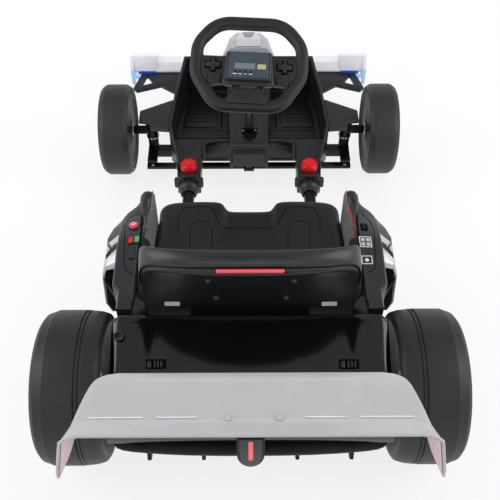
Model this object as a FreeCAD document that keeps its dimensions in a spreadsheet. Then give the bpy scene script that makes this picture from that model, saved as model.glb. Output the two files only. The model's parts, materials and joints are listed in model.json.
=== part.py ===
import FreeCAD, Part
import math
import operator
import os

import Sketcher
from FreeCAD import Placement, Rotation, Vector

# An electric drift kart for children, millimetres, +Y forward, +X right, +Z up.
# The origin is on the floor, midway along the kart. Lengths along the kart are
# measured from the rear axle, and each piece is moved by rear_axle_y at the end.

# Driving sizes: name, value, what it is. Places in the front unit are measured
# forward from the front axle, and all others forward from the rear axle.
SIZES = (
    ("wheelbase", 792, "rear axle to front axle"),
    ("nose_reach", 338, "front axle to the nose tip"),
    ("tail_reach", 285, "rear axle back to the rear wing's rearmost point"),
    # Wheels
    ("rear_wheel_radius", 150, "outside radius of a rear wheel"),
    ("rear_wheel_inner", 272, "middle of the kart to a rear wheel's inner face"),
    ("rear_wheel_width", 126, "rear wheel across"),
    ("rear_shoulder", 22, "width of a rear tyre's sloping shoulder"),
    ("rear_shoulder_drop", 11, "how much smaller a rear wheel is at its faces"),
    ("rear_rim_radius", 98, "radius where the rear tyre sits"),
    ("rear_web", 20, "thickness of the rear rim's disc"),
    ("front_wheel_radius", 117.5, "outside radius of a front wheel"),
    ("front_wheel_inner", 305, "middle of the kart to a front wheel's inner face"),
    ("front_wheel_width", 76, "front wheel across"),
    ("front_rim_radius", 70, "radius where the front tyre sits"),
    ("rim_lip", 4, "rim set in from the tyre's faces"),
    ("rim_seat_gap", 0.2, "gap between a rim and its tyre"),
    ("spoke_width", 16, "spoke across"),
    ("spoke_depth", 8, "depth of the windows between the spokes"),
    ("spoke_root", 30, "axle to the inner end of a window"),
    ("spoke_margin", 12, "rim edge to the outer end of a window"),
    ("running_gap", 0.05, "radial gap of a turning fit"),
    ("rear_axle_radius", 8, "radius of the rear axle"),
    ("spindle_radius", 7, "radius of a front spindle"),
    ("axle_end_gap", 10, "axle end set back inside the wheel"),
    # Front steering corner
    ("kingpin_x", 255, "middle of the kart to a kingpin"),
    ("kingpin_radius", 7, "radius of a kingpin"),
    ("knuckle_radius", 13, "outside radius of the knuckle sleeve"),
    ("knuckle_low", 60, "underside of the knuckle"),
    ("knuckle_high", 165, "top of the knuckle sleeve"),
    ("spindle_collar", 11, "radius of the spindle's root"),
    ("wheel_side_gap", 1, "gap between the spindle's root and the rim"),
    ("steer_arm", 58, "kingpin to the tie bar pin"),
    ("steer_arm_thick", 8, "steering arm thickness"),
    ("tie_bar_low", 36, "underside of the tie bar"),
    ("tie_bar_thick", 10, "tie bar height"),
    ("tie_bar_width", 16, "tie bar front to back"),
    ("tie_bar_boss", 17, "half length of the boss in the middle of the tie bar"),
    ("tie_pin_radius", 4, "radius of a tie bar pin"),
    ("tie_pin_tail", 2, "tie bar pin below the tie bar"),
    ("open_pin_gap", 2, "gap round the pin where the steering link is open"),
    ("crank_slot_gap", 1.5, "gap beside the crank pin in its slot"),
    ("crank_slot_half", 11, "half length of that slot"),
    ("beam_low", 30, "underside of the front beam"),
    ("beam_width", 24, "front beam front to back"),
    ("collar_gap", 0.3, "vertical gap of a turning piece"),
    # Front tub
    ("tub_low", 54, "underside of the front tub"),
    ("tub_floor", 84, "footwell floor"),
    ("tub_wall", 8, "tub wall"),
    ("tub_front", 208, "front of the tub"),
    ("tub_rear", -56, "rear wall of the tub"),
    ("tub_waist", 70, "where the side wall bends"),
    ("tub_front_half", 176, "half width at the front"),
    ("tub_waist_half", 196, "half width at the bend"),
    ("tub_rear_half", 204, "half width at the rear"),
    ("tub_front_high", 200, "rim height at the front"),
    ("tub_side_high", 182, "rim height beside the front axle"),
    ("tub_shoulder_high", 150, "rim height where the side falls to the neck"),
    ("tunnel_rear", -86, "rear face of the middle tunnel"),
    ("tunnel_rear_half", 50, "half width of the tunnel at the rear"),
    ("tunnel_front_half", 62, "half width of the tunnel at the front"),
    ("tunnel_high", 140, "top of the tunnel"),
    ("tunnel_rise", 40, "how much the tunnel rises to the front wall"),
    ("crank_bay_half", 43, "half width of the space under the tunnel"),
    ("crank_bay_front", 43, "front of the space under the tunnel"),
    ("crank_bay_high", 110, "ceiling of the space under the tunnel"),
    ("foot_pad_rear", 44, "rear edge of a foot pad"),
    ("foot_pad_front", 172, "front edge of a foot pad"),
    ("foot_pad_inset", 12, "foot pad set in from the walls"),
    ("foot_pad_thick", 3, "height of a foot pad"),
    ("rear_panel_depth", 3, "depth of the panels in the rear wall"),
    ("neck_rear", -192, "rear end of a rail neck"),
    ("neck_bend", -133, "where a neck starts to widen"),
    ("neck_half", 29, "half width of a neck at its end"),
    ("neck_low", 72, "underside of a neck"),
    ("neck_high", 128, "top of a neck"),
    ("neck_bevel", 9, "bevel along a neck's top edges"),
    ("shield_low", 172, "underside of an axle shield"),
    ("shield_thick", 10, "axle shield thickness"),
    ("shield_tip", 281, "middle of the kart to a shield's outer end"),
    ("shield_rear", -52, "rear edge of a shield at the tub"),
    ("shield_front", 45, "front edge of a shield at the tub"),
    ("shield_flange", 20, "depth of the flange under a shield's rear edge"),
    # Nose and front wing
    ("nose_low", 104, "underside of the nose"),
    ("nose_root_half", 92, "half width of the nose at the tub"),
    ("nose_root_high", 226, "top of the nose at the tub"),
    ("nose_brow", 240, "where the nose starts to narrow"),
    ("nose_brow_half", 74, "half width of the nose there"),
    ("nose_tip_half", 36, "half width of the nose tip"),
    ("nose_tip_high", 196, "top of the nose tip"),
    ("nose_bevel", 16, "bevel along the nose's top edges"),
    ("wing_rear", 268, "rear edge of the front wing"),
    ("wing_front", 328, "front edge of the front wing"),
    ("wing_half", 339, "half span of the front wing"),
    ("wing_step", 262, "middle of the kart to the raised outer part"),
    ("wing_inner_high", 120, "ridge of the wing's inner part"),
    ("wing_outer_high", 142, "ridge of the wing's raised outer part"),
    ("wing_thick", 6, "front wing thickness"),
    ("endplate_low", 60, "underside of a front endplate"),
    ("endplate_thick", 12, "front endplate thickness"),
    ("stay_rear", 187, "rear corner of a wing stay"),
    ("stay_thick", 10, "wing stay thickness"),
    ("stay_bar", 12, "width of the stay's brace"),
    # Steering
    ("column_rake", 28, "column's lean back from upright, degrees"),
    ("column_foot_y", -18, "column axis where it meets the foot height"),
    ("column_foot_z", 120, "that height"),
    ("column_radius", 9, "radius of the steering column"),
    ("column_length", 386, "foot point to the top of the column"),
    ("crank_rise", 16, "crank plate above the tie bar pin's middle"),
    ("crank_thick", 8, "crank plate thickness"),
    ("crank_half", 9, "half width of the crank plate"),
    ("crank_pin_tail", 11, "crank pin below the tie bar's middle"),
    ("wheel_grip", 27, "steering wheel rim, across and deep"),
    ("wheel_half_wide", 125, "half width of the steering wheel"),
    ("wheel_top", 112, "column axis to the rim's top edge"),
    ("wheel_bottom", 104, "column axis to the rim's bottom edge"),
    ("wheel_corner", 86, "corner radius of the steering wheel"),
    ("wheel_recess", 6, "middle of the wheel below its rim"),
    ("opening_corner", 44, "corner radius of the wheel's upper opening"),
    ("recess_corner", 58, "corner radius of the wheel's recessed lower part"),
    ("crossbar_high", 34, "column axis to the crossbar's upper edge"),
    ("crossbar_low", 30, "column axis to the crossbar's lower edge"),
    ("spoke_pad_top", 64, "column axis to the lower pad"),
    ("display_wide", 92, "display housing across"),
    ("display_tall", 64, "display housing height"),
    ("display_deep", 26, "display housing depth"),
    ("display_bevel", 6, "bevel round the display's face"),
    # Rails
    ("rail_x", 150, "middle of the kart to a rail"),
    ("rail_z", 100, "height of the rails"),
    ("rail_radius", 14.25, "outside radius of a rail tube"),
    ("rail_gap", 0.1, "gap round a rail in its socket"),
    ("rail_front", -77, "front end of a rail"),
    ("rail_rear", 180, "rear end of a rail"),
    ("sleeve_half", 18, "half width of the rear frame's square tubes"),
    ("sleeve_front", 430, "front end of those tubes"),
    ("sleeve_rear", 100, "rear end of those tubes"),
    ("cross_bar", 24, "rear frame's cross bars, high and wide"),
    ("collar_length", 34, "clamp collar along the rail"),
    ("collar_half", 36, "half width of a clamp collar"),
    ("collar_ear", 14, "half height of the collar's ears"),
    ("knob_radius", 18.5, "clamp knob radius"),
    ("knob_y", -162, "clamp knob place"),
    ("knob_high", 150, "top of a clamp knob"),
    # Rear unit
    ("axle_plate_thick", 8, "rear axle plate thickness"),
    ("axle_plate_half", 30, "half width of an axle plate at the axle"),
    ("gearbox_inner", 168, "inner face of a drive unit"),
    ("gearbox_outer", 250, "outer face of a drive unit"),
    ("gearbox_rear", -42, "rear of a drive unit"),
    ("gearbox_front", 56, "front of a drive unit"),
    ("gearbox_low", -44, "underside of a drive unit, from the axle"),
    ("gearbox_high", 48, "top of a drive unit, from the axle"),
    ("gearbox_bevel", 18, "cut corners of a drive unit"),
    ("battery_half", 118, "half width of the battery"),
    ("battery_rear", 26, "rear of the battery"),
    ("battery_front", 96, "front of the battery"),
    ("battery_low", 122, "underside of the battery"),
    ("battery_high", 238, "top of the battery"),
    ("tray_thick", 6, "battery tray thickness"),
    ("seat_half", 204, "half width of the seat"),
    ("seat_low", 118, "underside of the seat"),
    ("seat_front", 441, "front edge of the seat"),
    ("seat_lip", 200, "height of the seat's front lip"),
    ("seat_dip", 138, "height of the seat's middle"),
    ("seat_fall", 110, "length of the fall from the lip to the middle"),
    ("seat_notch_half", 48, "half width of the notch in the front lip"),
    ("seat_notch", 22, "depth of that notch"),
    ("seat_ridge", 30, "width of the seat's raised sides"),
    ("seat_ridge_high", 12, "height of the seat's raised sides"),
    ("bolster_thick", 24, "side bolster thickness"),
    ("bolster_front", 398, "front of a bolster"),
    ("bolster_high", 298, "top of a bolster"),
    ("bolster_rear_high", 262, "top of a bolster beside the seat back"),
    ("bolster_bevel", 7, "bevel along a bolster's top"),
    ("piece_gap", 0.5, "gap between neighbouring mouldings"),
    ("console_width", 44, "a console across"),
    ("console_wheel_gap", 11, "console to the rear wheel's inner face"),
    ("console_rear", 105, "rear end of a console"),
    ("console_nose", 404, "front end of a console"),
    ("console_knee", 344, "where a console's top starts to fall"),
    ("console_high", 277, "top of a console"),
    ("console_rear_high", 263, "top of a console's rear end"),
    ("console_nose_high", 205, "top of a console's front end"),
    ("console_bevel", 7, "bevel along a console's outer top edge"),
    ("tyre_clearance", 12, "clearance round the rear wheel"),
    ("pod_width", 43, "a side pod across"),
    ("pod_rear", 229, "rear end of a side pod"),
    ("pod_low", 78, "underside of a side pod"),
    ("pod_high", 250, "top of a side pod"),
    ("pod_shoulder", 50, "how far the pod's outer edge lies below its top"),
    ("pod_foot", 32, "how far its widest line lies above its underside"),
    ("pod_sweep", 134, "length over which the pod narrows to the front"),
    ("back_half", 203, "half width of the seat back"),
    ("back_low", 140, "underside of the seat back"),
    ("back_foot", 150, "front face of the seat back at the seat"),
    ("back_lean", 17, "how far the seat back's face leans back"),
    ("back_thick", 42, "seat back thickness at the seat"),
    ("back_shell", 58, "rear face of the seat back's upper shell"),
    ("back_wing", 42, "width of the seat back's forward-curving sides"),
    ("back_hollow", 20, "depth of the seat back between its sides"),
    ("back_corner", 46, "how far the rear corners are swept forward"),
    ("back_high", 430, "top of the seat back below its rim"),
    ("back_rim_high", 463, "top of the seat back's rim"),
    ("back_rim_drop", 22, "how far the rim falls at its ends"),
    ("back_rim_lap", 6, "how far the rim stands out behind the shell"),
    ("brake_light_half", 59, "half length of the brake light"),
    ("brake_light_high", 8, "brake light height"),
    ("brake_light_proud", 3, "how far the brake light stands out"),
    ("deck_wheel_gap", 10, "deck to a rear wheel's inner face"),
    ("deck_front", 75, "front edge of the rear deck"),
    ("deck_front_high", 292, "top of the deck at its front edge"),
    ("deck_rear", -130, "rear face of the deck"),
    ("deck_rear_high", 206, "top of the deck at its rear edge"),
    ("deck_wall", 5, "deck wall"),
    ("deck_low", 165, "lower edge of the deck"),
    ("deck_corner", 16, "bevel at the deck's front corners"),
    ("deck_bevel", 6, "bevel along the deck's sides"),
    ("diffuser_low", 104, "underside of the diffuser"),
    ("diffuser_front", -60, "front edge of the diffuser"),
    ("diffuser_wall", 7, "diffuser wall"),
    ("diffuser_inset", 7, "diffuser set in from the deck's sides"),
    ("fin_outer", 200, "middle of the kart to an outer fin"),
    ("fin_inner", 98, "middle of the kart to an inner fin"),
    ("fin_thick", 6, "fin thickness"),
    ("boss_half", 25, "half width of the tail boss"),
    ("boss_low", 134, "underside of the tail boss"),
    ("boss_high", 226, "top of the tail boss"),
    ("boss_deep", 26, "tail boss front to back"),
    ("port_inset", 17, "charge port set in from the deck's side"),
    ("port_y", 32, "charge port place"),
    ("port_radius", 9, "outside radius of the charge port"),
    ("port_bore", 5.6, "radius of the charge port's socket"),
    ("port_depth", 14, "depth of that socket"),
    ("port_floor", 4, "thickness under the socket"),
    ("port_high", 280, "top of the charge port"),
    ("tail_wing_half", 258, "half width of the rear wing's top"),
    ("tail_wing_front", -118, "front edge of the rear wing"),
    ("tail_wing_front_high", 400, "height of that edge"),
    ("tail_wing_ridge", -212, "ridge across the rear wing"),
    ("tail_wing_ridge_high", 430, "height of that ridge"),
    ("tail_wing_lip", -248, "trailing edge of the rear wing"),
    ("tail_wing_lip_high", 424, "height of the trailing edge"),
    ("tail_wing_thick", 6, "rear wing thickness"),
    ("tail_plate_splay", 46, "how far a rear endplate leans out"),
    ("tail_plate_low", 330, "lower corner of a rear endplate"),
    ("strut_x", 120, "middle of the kart to a rear wing strut"),
    ("strut_thick", 10, "rear wing strut thickness"),
    ("strut_root", -75, "front of a strut's foot on the deck"),
    ("strut_chord", 40, "a strut front to back"),
)

SIDES = (("left", -1), ("right", 1))

OPERATIONS = {
    "+": operator.add,
    "-": operator.sub,
    "*": operator.mul,
    "/": operator.truediv,
}

doc = FreeCAD.newDocument("drift_kart")
sheet = doc.addObject("Spreadsheet::Sheet", "sizes")


class Size:
    """A length with the sheet expression that gives it."""

    def __init__(self, number, text):
        self.number = float(number)
        self.text = text

    def join(self, sign, first, second):
        first, second = as_size(first), as_size(second)
        number = OPERATIONS[sign](first.number, second.number)
        return Size(number, f"({first.text} {sign} {second.text})")

    def __add__(self, other):
        return self.join("+", self, other)

    def __radd__(self, other):
        return self.join("+", other, self)

    def __sub__(self, other):
        return self.join("-", self, other)

    def __rsub__(self, other):
        return self.join("-", other, self)

    def __mul__(self, other):
        return self.join("*", self, other)

    def __rmul__(self, other):
        return self.join("*", other, self)

    def __truediv__(self, other):
        return self.join("/", self, other)

    def __neg__(self):
        return self.join("-", 0, self)


def as_size(value):
    return value if isinstance(value, Size) else Size(value, f"({value})")


def number(value):
    return as_size(value).number


def sine(angle):
    return Size(math.sin(math.radians(angle.number)), f"sin({angle.text} * 1 deg)")


def cosine(angle):
    return Size(math.cos(math.radians(angle.number)), f"cos({angle.text} * 1 deg)")


class Named:
    """The driving sizes by name."""


S = Named()
for row, (name, value, meaning) in enumerate(SIZES, start=1):
    sheet.set(f"A{row}", name)
    sheet.set(f"B{row}", str(value))
    sheet.set(f"C{row}", meaning)
    sheet.setAlias(f"B{row}", name)
    setattr(S, name, Size(value, f"sizes.{name}"))
doc.recompute()

# Places worked out from the driving sizes
front_axle = S.wheelbase
rear_axle_y = (S.tail_reach - S.nose_reach - S.wheelbase) / 2
rear_wheel_outer = S.rear_wheel_inner + S.rear_wheel_width
front_wheel_outer = S.front_wheel_inner + S.front_wheel_width
column_foot = front_axle + S.column_foot_y
tie_bar_y = front_axle - S.steer_arm
tie_bar_mid = S.tie_bar_low + S.tie_bar_thick / 2
rake_sin = sine(S.column_rake)
rake_cos = cosine(S.column_rake)
foot_to_bar_y = tie_bar_y - column_foot
foot_to_bar_z = tie_bar_mid - S.column_foot_z
crank_reach = -(foot_to_bar_y * rake_cos + foot_to_bar_z * rake_sin)
crank_pin_mid = foot_to_bar_z * rake_cos - foot_to_bar_y * rake_sin
neck_rear = front_axle + S.neck_rear
seat_rear = S.back_foot + S.piece_gap
bolster_inner = S.seat_half + S.piece_gap
console_inner = bolster_inner + S.bolster_thick + S.piece_gap
console_outer = console_inner + S.console_width
console_back_outer = S.rear_wheel_inner - S.console_wheel_gap
console_step = S.rear_wheel_radius + S.tyre_clearance
pod_inner = console_outer + S.piece_gap
pod_outer = pod_inner + S.pod_width
deck_half = S.rear_wheel_inner - S.deck_wheel_gap
deck_fall = (S.deck_front_high - S.deck_rear_high) / (S.deck_front - S.deck_rear)
port_x = deck_half - S.port_inset

# Planes of a body: role of the origin plane, which way its normal points along the axis
PLANES = {
    "XY": ("XY_Plane", 1),
    "XZ": ("XZ_Plane", -1),
    "YZ": ("YZ_Plane", 1),
}


def bind(thing, path, value):
    thing.setExpression(path, as_size(value).text)


def new_body(label, at=(0, 0, 0), rake=None):
    """A body whose own frame stands at a point measured from the rear axle."""
    body = doc.addObject("PartDesign::Body", label)
    body.Label = label
    bind(body, "Placement.Base.x", at[0])
    bind(body, "Placement.Base.y", as_size(at[1]) + rear_axle_y)
    bind(body, "Placement.Base.z", at[2])
    if rake is not None:
        body.Placement = Placement(body.Placement.Base, Rotation(Vector(1, 0, 0), rake.number))
        bind(body, "Placement.Rotation.Angle", rake)
    return body


def new_sketch(body, plane, level):
    role, facing = PLANES[plane]
    origin = [item for item in body.Origin.OriginFeatures if item.Role == role][0]
    sketch = body.newObject("Sketcher::SketchObject", f"{body.Name}_outline")
    sketch.AttachmentSupport = [(origin, "")]
    sketch.MapMode = "FlatFace"
    bind(sketch, "AttachmentOffset.Base.z", facing * as_size(level))
    return sketch


def pin_point(sketch, edge, position, x, y):
    for kind, value in (("DistanceX", x), ("DistanceY", y)):
        place = sketch.addConstraint(Sketcher.Constraint(kind, edge, position, number(value)))
        if isinstance(value, Size):
            sketch.setExpression(f"Constraints[{place}]", value.text)


def draw_corners(sketch, corners):
    """A closed outline of straight edges, each corner bound to the sheet."""
    first = sketch.GeometryCount
    count = len(corners)
    points = [Vector(number(x), number(y), 0) for x, y in corners]
    for index in range(count):
        sketch.addGeometry(Part.LineSegment(points[index], points[(index + 1) % count]))
    for index in range(count):
        following = first + (index + 1) % count
        sketch.addConstraint(Sketcher.Constraint("Coincident", first + index, 2, following, 1))
    for index, (x, y) in enumerate(corners):
        pin_point(sketch, first + index, 1, x, y)


def draw_circle(sketch, x, y, radius):
    circle = Part.Circle(Vector(number(x), number(y), 0), Vector(0, 0, 1), number(radius))
    edge = sketch.addGeometry(circle)
    pin_point(sketch, edge, 3, x, y)
    place = sketch.addConstraint(Sketcher.Constraint("Radius", edge, number(radius)))
    if isinstance(radius, Size):
        sketch.setExpression(f"Constraints[{place}]", radius.text)


def box_corners(x_low, x_high, y_low, y_high):
    return [(x_low, y_low), (x_high, y_low), (x_high, y_high), (x_low, y_high)]


def prism(body, plane, low, high, corners=(), circles=(), cut=False):
    """A straight block between two levels of the plane's axis, added or cut away."""
    facing = PLANES[plane][1]
    sketch = new_sketch(body, plane, low)
    for outline in corners:
        draw_corners(sketch, outline)
    for x, y, radius in circles:
        draw_circle(sketch, x, y, radius)
    kind = "PartDesign::Pocket" if cut else "PartDesign::Pad"
    feature = body.newObject(kind, f"{body.Name}_{'cut' if cut else 'block'}")
    feature.Profile = sketch
    feature.Reversed = (facing < 0) != cut
    bind(feature, "Length", as_size(high) - low)
    doc.recompute()
    return feature


def turned(body, corners):
    """A ring turned about the body's own X axis, drawn as (x, radius) corners."""
    sketch = new_sketch(body, "XY", 0)
    draw_corners(sketch, corners)
    feature = body.newObject("PartDesign::Revolution", f"{body.Name}_turned")
    feature.Profile = sketch
    feature.ReferenceAxis = (sketch, ["H_Axis"])
    feature.Angle = 360
    doc.recompute()
    return feature


def soften(body, size, wanted, kind="Fillet"):
    """Round or chamfer the edges of the last feature that the test picks."""
    base = body.Tip
    names = [f"Edge{index}" for index, edge in enumerate(base.Shape.Edges, start=1) if wanted(edge)]
    feature = body.newObject(f"PartDesign::{kind}", f"{body.Name}_{kind.lower()}")
    feature.Base = (base, names)
    bind(feature, "Radius" if kind == "Fillet" else "Size", size)
    doc.recompute()
    return feature


def along(axis, **places):
    """A test that picks straight edges along an axis whose middle lies at the given places."""
    direction = {"x": Vector(1, 0, 0), "y": Vector(0, 1, 0), "z": Vector(0, 0, 1)}[axis]

    def test(edge):
        ends = [vertex.Point for vertex in edge.Vertexes]
        if len(ends) != 2:
            return False
        run = ends[1] - ends[0]
        if run.cross(direction).Length > 0.001 * run.Length:
            return False
        middle = edge.CenterOfMass
        for name, (low, high) in places.items():
            if not number(low) - 0.01 <= getattr(middle, name) <= number(high) + 0.01:
                return False
        return True

    return test


pieces = []


def keep(body):
    pieces.append(body)
    return body


def both_ways(sign, near, far):
    """Two places on one side of the middle, lowest first."""
    return sorted((sign * as_size(near), sign * as_size(far)), key=number)


def mirrored(sign, corners):
    return [(sign * x, y) for x, y in corners]


SPOKES = 5
KNOB_FLATS = 12
EIGHTH_CUT = math.tan(math.pi / 8)
EIGHTH_TURN = math.cos(math.pi / 8)


def spoke_windows(rim, sign, face, outer):
    """Straight-sided windows between the spokes, cut into the rim's outer face."""
    half = S.spoke_width / 2
    outlines = []
    for index in range(SPOKES):
        sides = []
        for step, turn in ((index, 1), (index + 1, -1)):
            angle = 2 * math.pi * step / SPOKES
            across, up = math.cos(angle), math.sin(angle)
            for radius in (S.spoke_root, outer - S.spoke_margin):
                sides.append((radius * across - half * (turn * up), radius * up + half * (turn * across)))
        outlines.append([sides[0], sides[1], sides[3], sides[2]])
    low, high = both_ways(sign, face - S.spoke_depth, face)
    prism(rim, "YZ", low, high, corners=outlines, cut=True)


# Rear wheels: a hard tyre with a flat tread and a sloping outer shoulder, round a deep dish closed by a spoked disc
def rear_wheels():
    inner = S.rear_wheel_inner
    outer = rear_wheel_outer
    shoulder = S.rear_wheel_radius - S.rear_shoulder_drop
    for side, sign in SIDES:
        centre = (0, 0, S.rear_wheel_radius)
        tyre = new_body(f"tyre_rear_{side}", centre)
        turned(tyre, mirrored(sign, [
            (inner, S.rear_rim_radius),
            (inner, S.rear_wheel_radius),
            (outer - S.rear_shoulder, S.rear_wheel_radius),
            (outer, shoulder),
            (outer, S.rear_rim_radius),
        ]))
        keep(tyre)

        rim = new_body(f"rim_rear_{side}", centre)
        barrel = S.rear_rim_radius - S.rim_seat_gap
        face = outer - S.rim_lip
        low, high = both_ways(sign, face - S.rear_web, face)
        bore = (0, 0, S.rear_axle_radius + S.running_gap)
        prism(rim, "YZ", low, high, circles=[(0, 0, barrel), bore])
        spoke_windows(rim, sign, face, barrel)
        keep(rim)


# Front wheels: a plain hard tyre on a closed rim
def front_wheels():
    inner = S.front_wheel_inner
    outer = front_wheel_outer
    for side, sign in SIDES:
        centre = (0, front_axle, S.front_wheel_radius)
        tyre = new_body(f"tyre_front_{side}", centre)
        low, high = both_ways(sign, inner, outer)
        prism(tyre, "YZ", low, high, circles=[(0, 0, S.front_wheel_radius), (0, 0, S.front_rim_radius)])
        keep(tyre)

        rim = new_body(f"rim_front_{side}", centre)
        barrel = S.front_rim_radius - S.rim_seat_gap
        face = outer - S.rim_lip
        low, high = both_ways(sign, inner + S.rim_lip, face)
        prism(rim, "YZ", low, high, circles=[(0, 0, barrel), (0, 0, S.spindle_radius + S.running_gap)])
        spoke_windows(rim, sign, face, barrel)
        keep(rim)


def eight_sides(half, across=0, up=0):
    """Corners of a square of a half width with its corners cut off, round a middle."""
    cut = half * EIGHTH_CUT
    ring = ((-half, -cut), (-cut, -half), (cut, -half), (half, -cut),
            (half, cut), (cut, half), (-cut, half), (-half, cut))
    return [(across + x, up + y) for x, y in ring]


# Knuckles: a sleeve on the kingpin with the spindle outward and the steering arm backward
def knuckles():
    half = S.knuckle_radius
    for side, sign in SIDES:
        knuckle = new_body(f"knuckle_{side}", (sign * S.kingpin_x, front_axle, 0))
        arm_end = -S.steer_arm - S.tie_bar_width / 2
        prism(knuckle, "XY", S.knuckle_low, S.knuckle_low + S.steer_arm_thick, corners=[
            box_corners(-half, half, arm_end, 0),
        ])
        prism(knuckle, "XY", S.knuckle_low, S.knuckle_high, corners=[eight_sides(half)])
        level = S.front_wheel_radius
        spindle = front_wheel_outer - S.axle_end_gap - S.kingpin_x
        collar = S.front_wheel_inner + S.rim_lip - S.wheel_side_gap - S.kingpin_x
        low, high = both_ways(sign, 0, spindle)
        prism(knuckle, "YZ", low, high, circles=[(0, level, S.spindle_radius)])
        low, high = both_ways(sign, 0, collar)
        prism(knuckle, "YZ", low, high, corners=[eight_sides(S.spindle_collar, up=level)])
        prism(knuckle, "XY", S.knuckle_low, S.knuckle_high, cut=True, circles=[
            (0, 0, S.kingpin_radius + S.running_gap),
        ])
        prism(knuckle, "XY", S.tie_bar_low - S.tie_pin_tail, S.knuckle_low, circles=[
            (0, -S.steer_arm, S.tie_pin_radius),
        ])
        keep(knuckle)


# Tie bar: a flat bar with an eye at each end and a slotted boss for the crank pin.
# The right eye is the open pivot of the steering linkage, so it has play.
def tie_bar():
    bar = new_body("tie_bar", (0, tie_bar_y, 0))
    top = S.tie_bar_low + S.tie_bar_thick
    end = S.kingpin_x + S.tie_bar_width
    half = S.tie_bar_width / 2
    boss = S.tie_bar_boss
    slot = S.tie_pin_radius + S.crank_slot_gap
    prism(bar, "XY", S.tie_bar_low, top, corners=[box_corners(-end, end, -half, half)])
    prism(bar, "XY", S.tie_bar_low, top, corners=[box_corners(-half - slot, half + slot, -boss, boss)])
    prism(bar, "XY", S.tie_bar_low, top, cut=True, circles=[
        (-S.kingpin_x, 0, S.tie_pin_radius + S.running_gap),
        (S.kingpin_x, 0, S.tie_pin_radius + S.open_pin_gap),
    ])
    prism(bar, "XY", S.tie_bar_low, top, cut=True, corners=[
        box_corners(-slot, slot, -S.crank_slot_half, S.crank_slot_half),
    ])
    keep(bar)


# Steering: the raked column with its crank, the wheel and the display, in the column's frame
def steering():
    foot = (0, column_foot, S.column_foot_z)
    plate_low = crank_pin_mid + S.crank_rise
    column = new_body("steering_column", foot, S.column_rake)
    prism(column, "XY", plate_low, S.column_length, circles=[(0, 0, S.column_radius)])
    prism(column, "XY", plate_low, plate_low + S.crank_thick, corners=[
        box_corners(-S.crank_half, S.crank_half, -crank_reach - S.crank_half, S.column_radius),
    ])
    prism(column, "XY", crank_pin_mid - S.crank_pin_tail, plate_low, circles=[
        (0, -crank_reach, S.tie_pin_radius),
    ])
    keep(column)
    steering_wheel(foot)

    display = new_body("steering_display", foot, S.column_rake)
    wide, tall = S.display_wide / 2, S.display_tall / 2
    low = S.column_length + S.wheel_grip - S.wheel_recess
    prism(display, "XY", low, low + S.display_deep, corners=[box_corners(-wide, wide, -tall, tall)])
    front = low + S.display_deep
    soften(display, S.display_bevel, along("x", z=(front, front)), "Chamfer")
    soften(display, S.display_bevel, along("y", z=(front, front)), "Chamfer")
    keep(display)


def steering_wheel(foot):
    wheel = new_body("steering_wheel", foot, S.column_rake)
    low = S.column_length
    high = low + S.wheel_grip
    half, top, bottom = S.wheel_half_wide, S.wheel_top, S.wheel_bottom
    inner, grip = half - S.wheel_grip, S.wheel_grip
    prism(wheel, "XY", low, high, corners=[box_corners(-half, half, -bottom, top)])
    soften(wheel, S.wheel_corner, along("z"))
    # Opening above the crossbar
    prism(wheel, "XY", low, high, cut=True, corners=[
        box_corners(-inner, inner, S.crossbar_high, top - grip),
    ])
    soften(wheel, S.opening_corner, along("z", y=(top - grip, top - grip), x=(-inner, inner)))
    # Recessed crossbar and lower grips
    prism(wheel, "XY", high - S.wheel_recess, high, cut=True, corners=[
        box_corners(-inner, inner, grip - bottom, S.crossbar_high),
    ])
    soften(wheel, S.recess_corner, along("z", y=(grip - bottom, grip - bottom), x=(-inner, inner)))
    # Openings under the crossbar, with a strut each side of the middle one
    reach = S.display_wide / 2
    strut = S.wheel_recess
    prism(wheel, "XY", low, high, cut=True, corners=[
        [(sign * reach, -S.crossbar_low), (sign * (reach / 2 + strut), -S.crossbar_low),
         (sign * (reach / 3 + strut), -S.spoke_pad_top), (sign * (reach - strut), -S.spoke_pad_top)]
        for sign in (-1, 1)
    ] + [[
        (-reach / 2, -S.crossbar_low), (reach / 2, -S.crossbar_low),
        (reach / 3, -S.spoke_pad_top), (-reach / 3, -S.spoke_pad_top),
    ]])
    keep(wheel)


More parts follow.
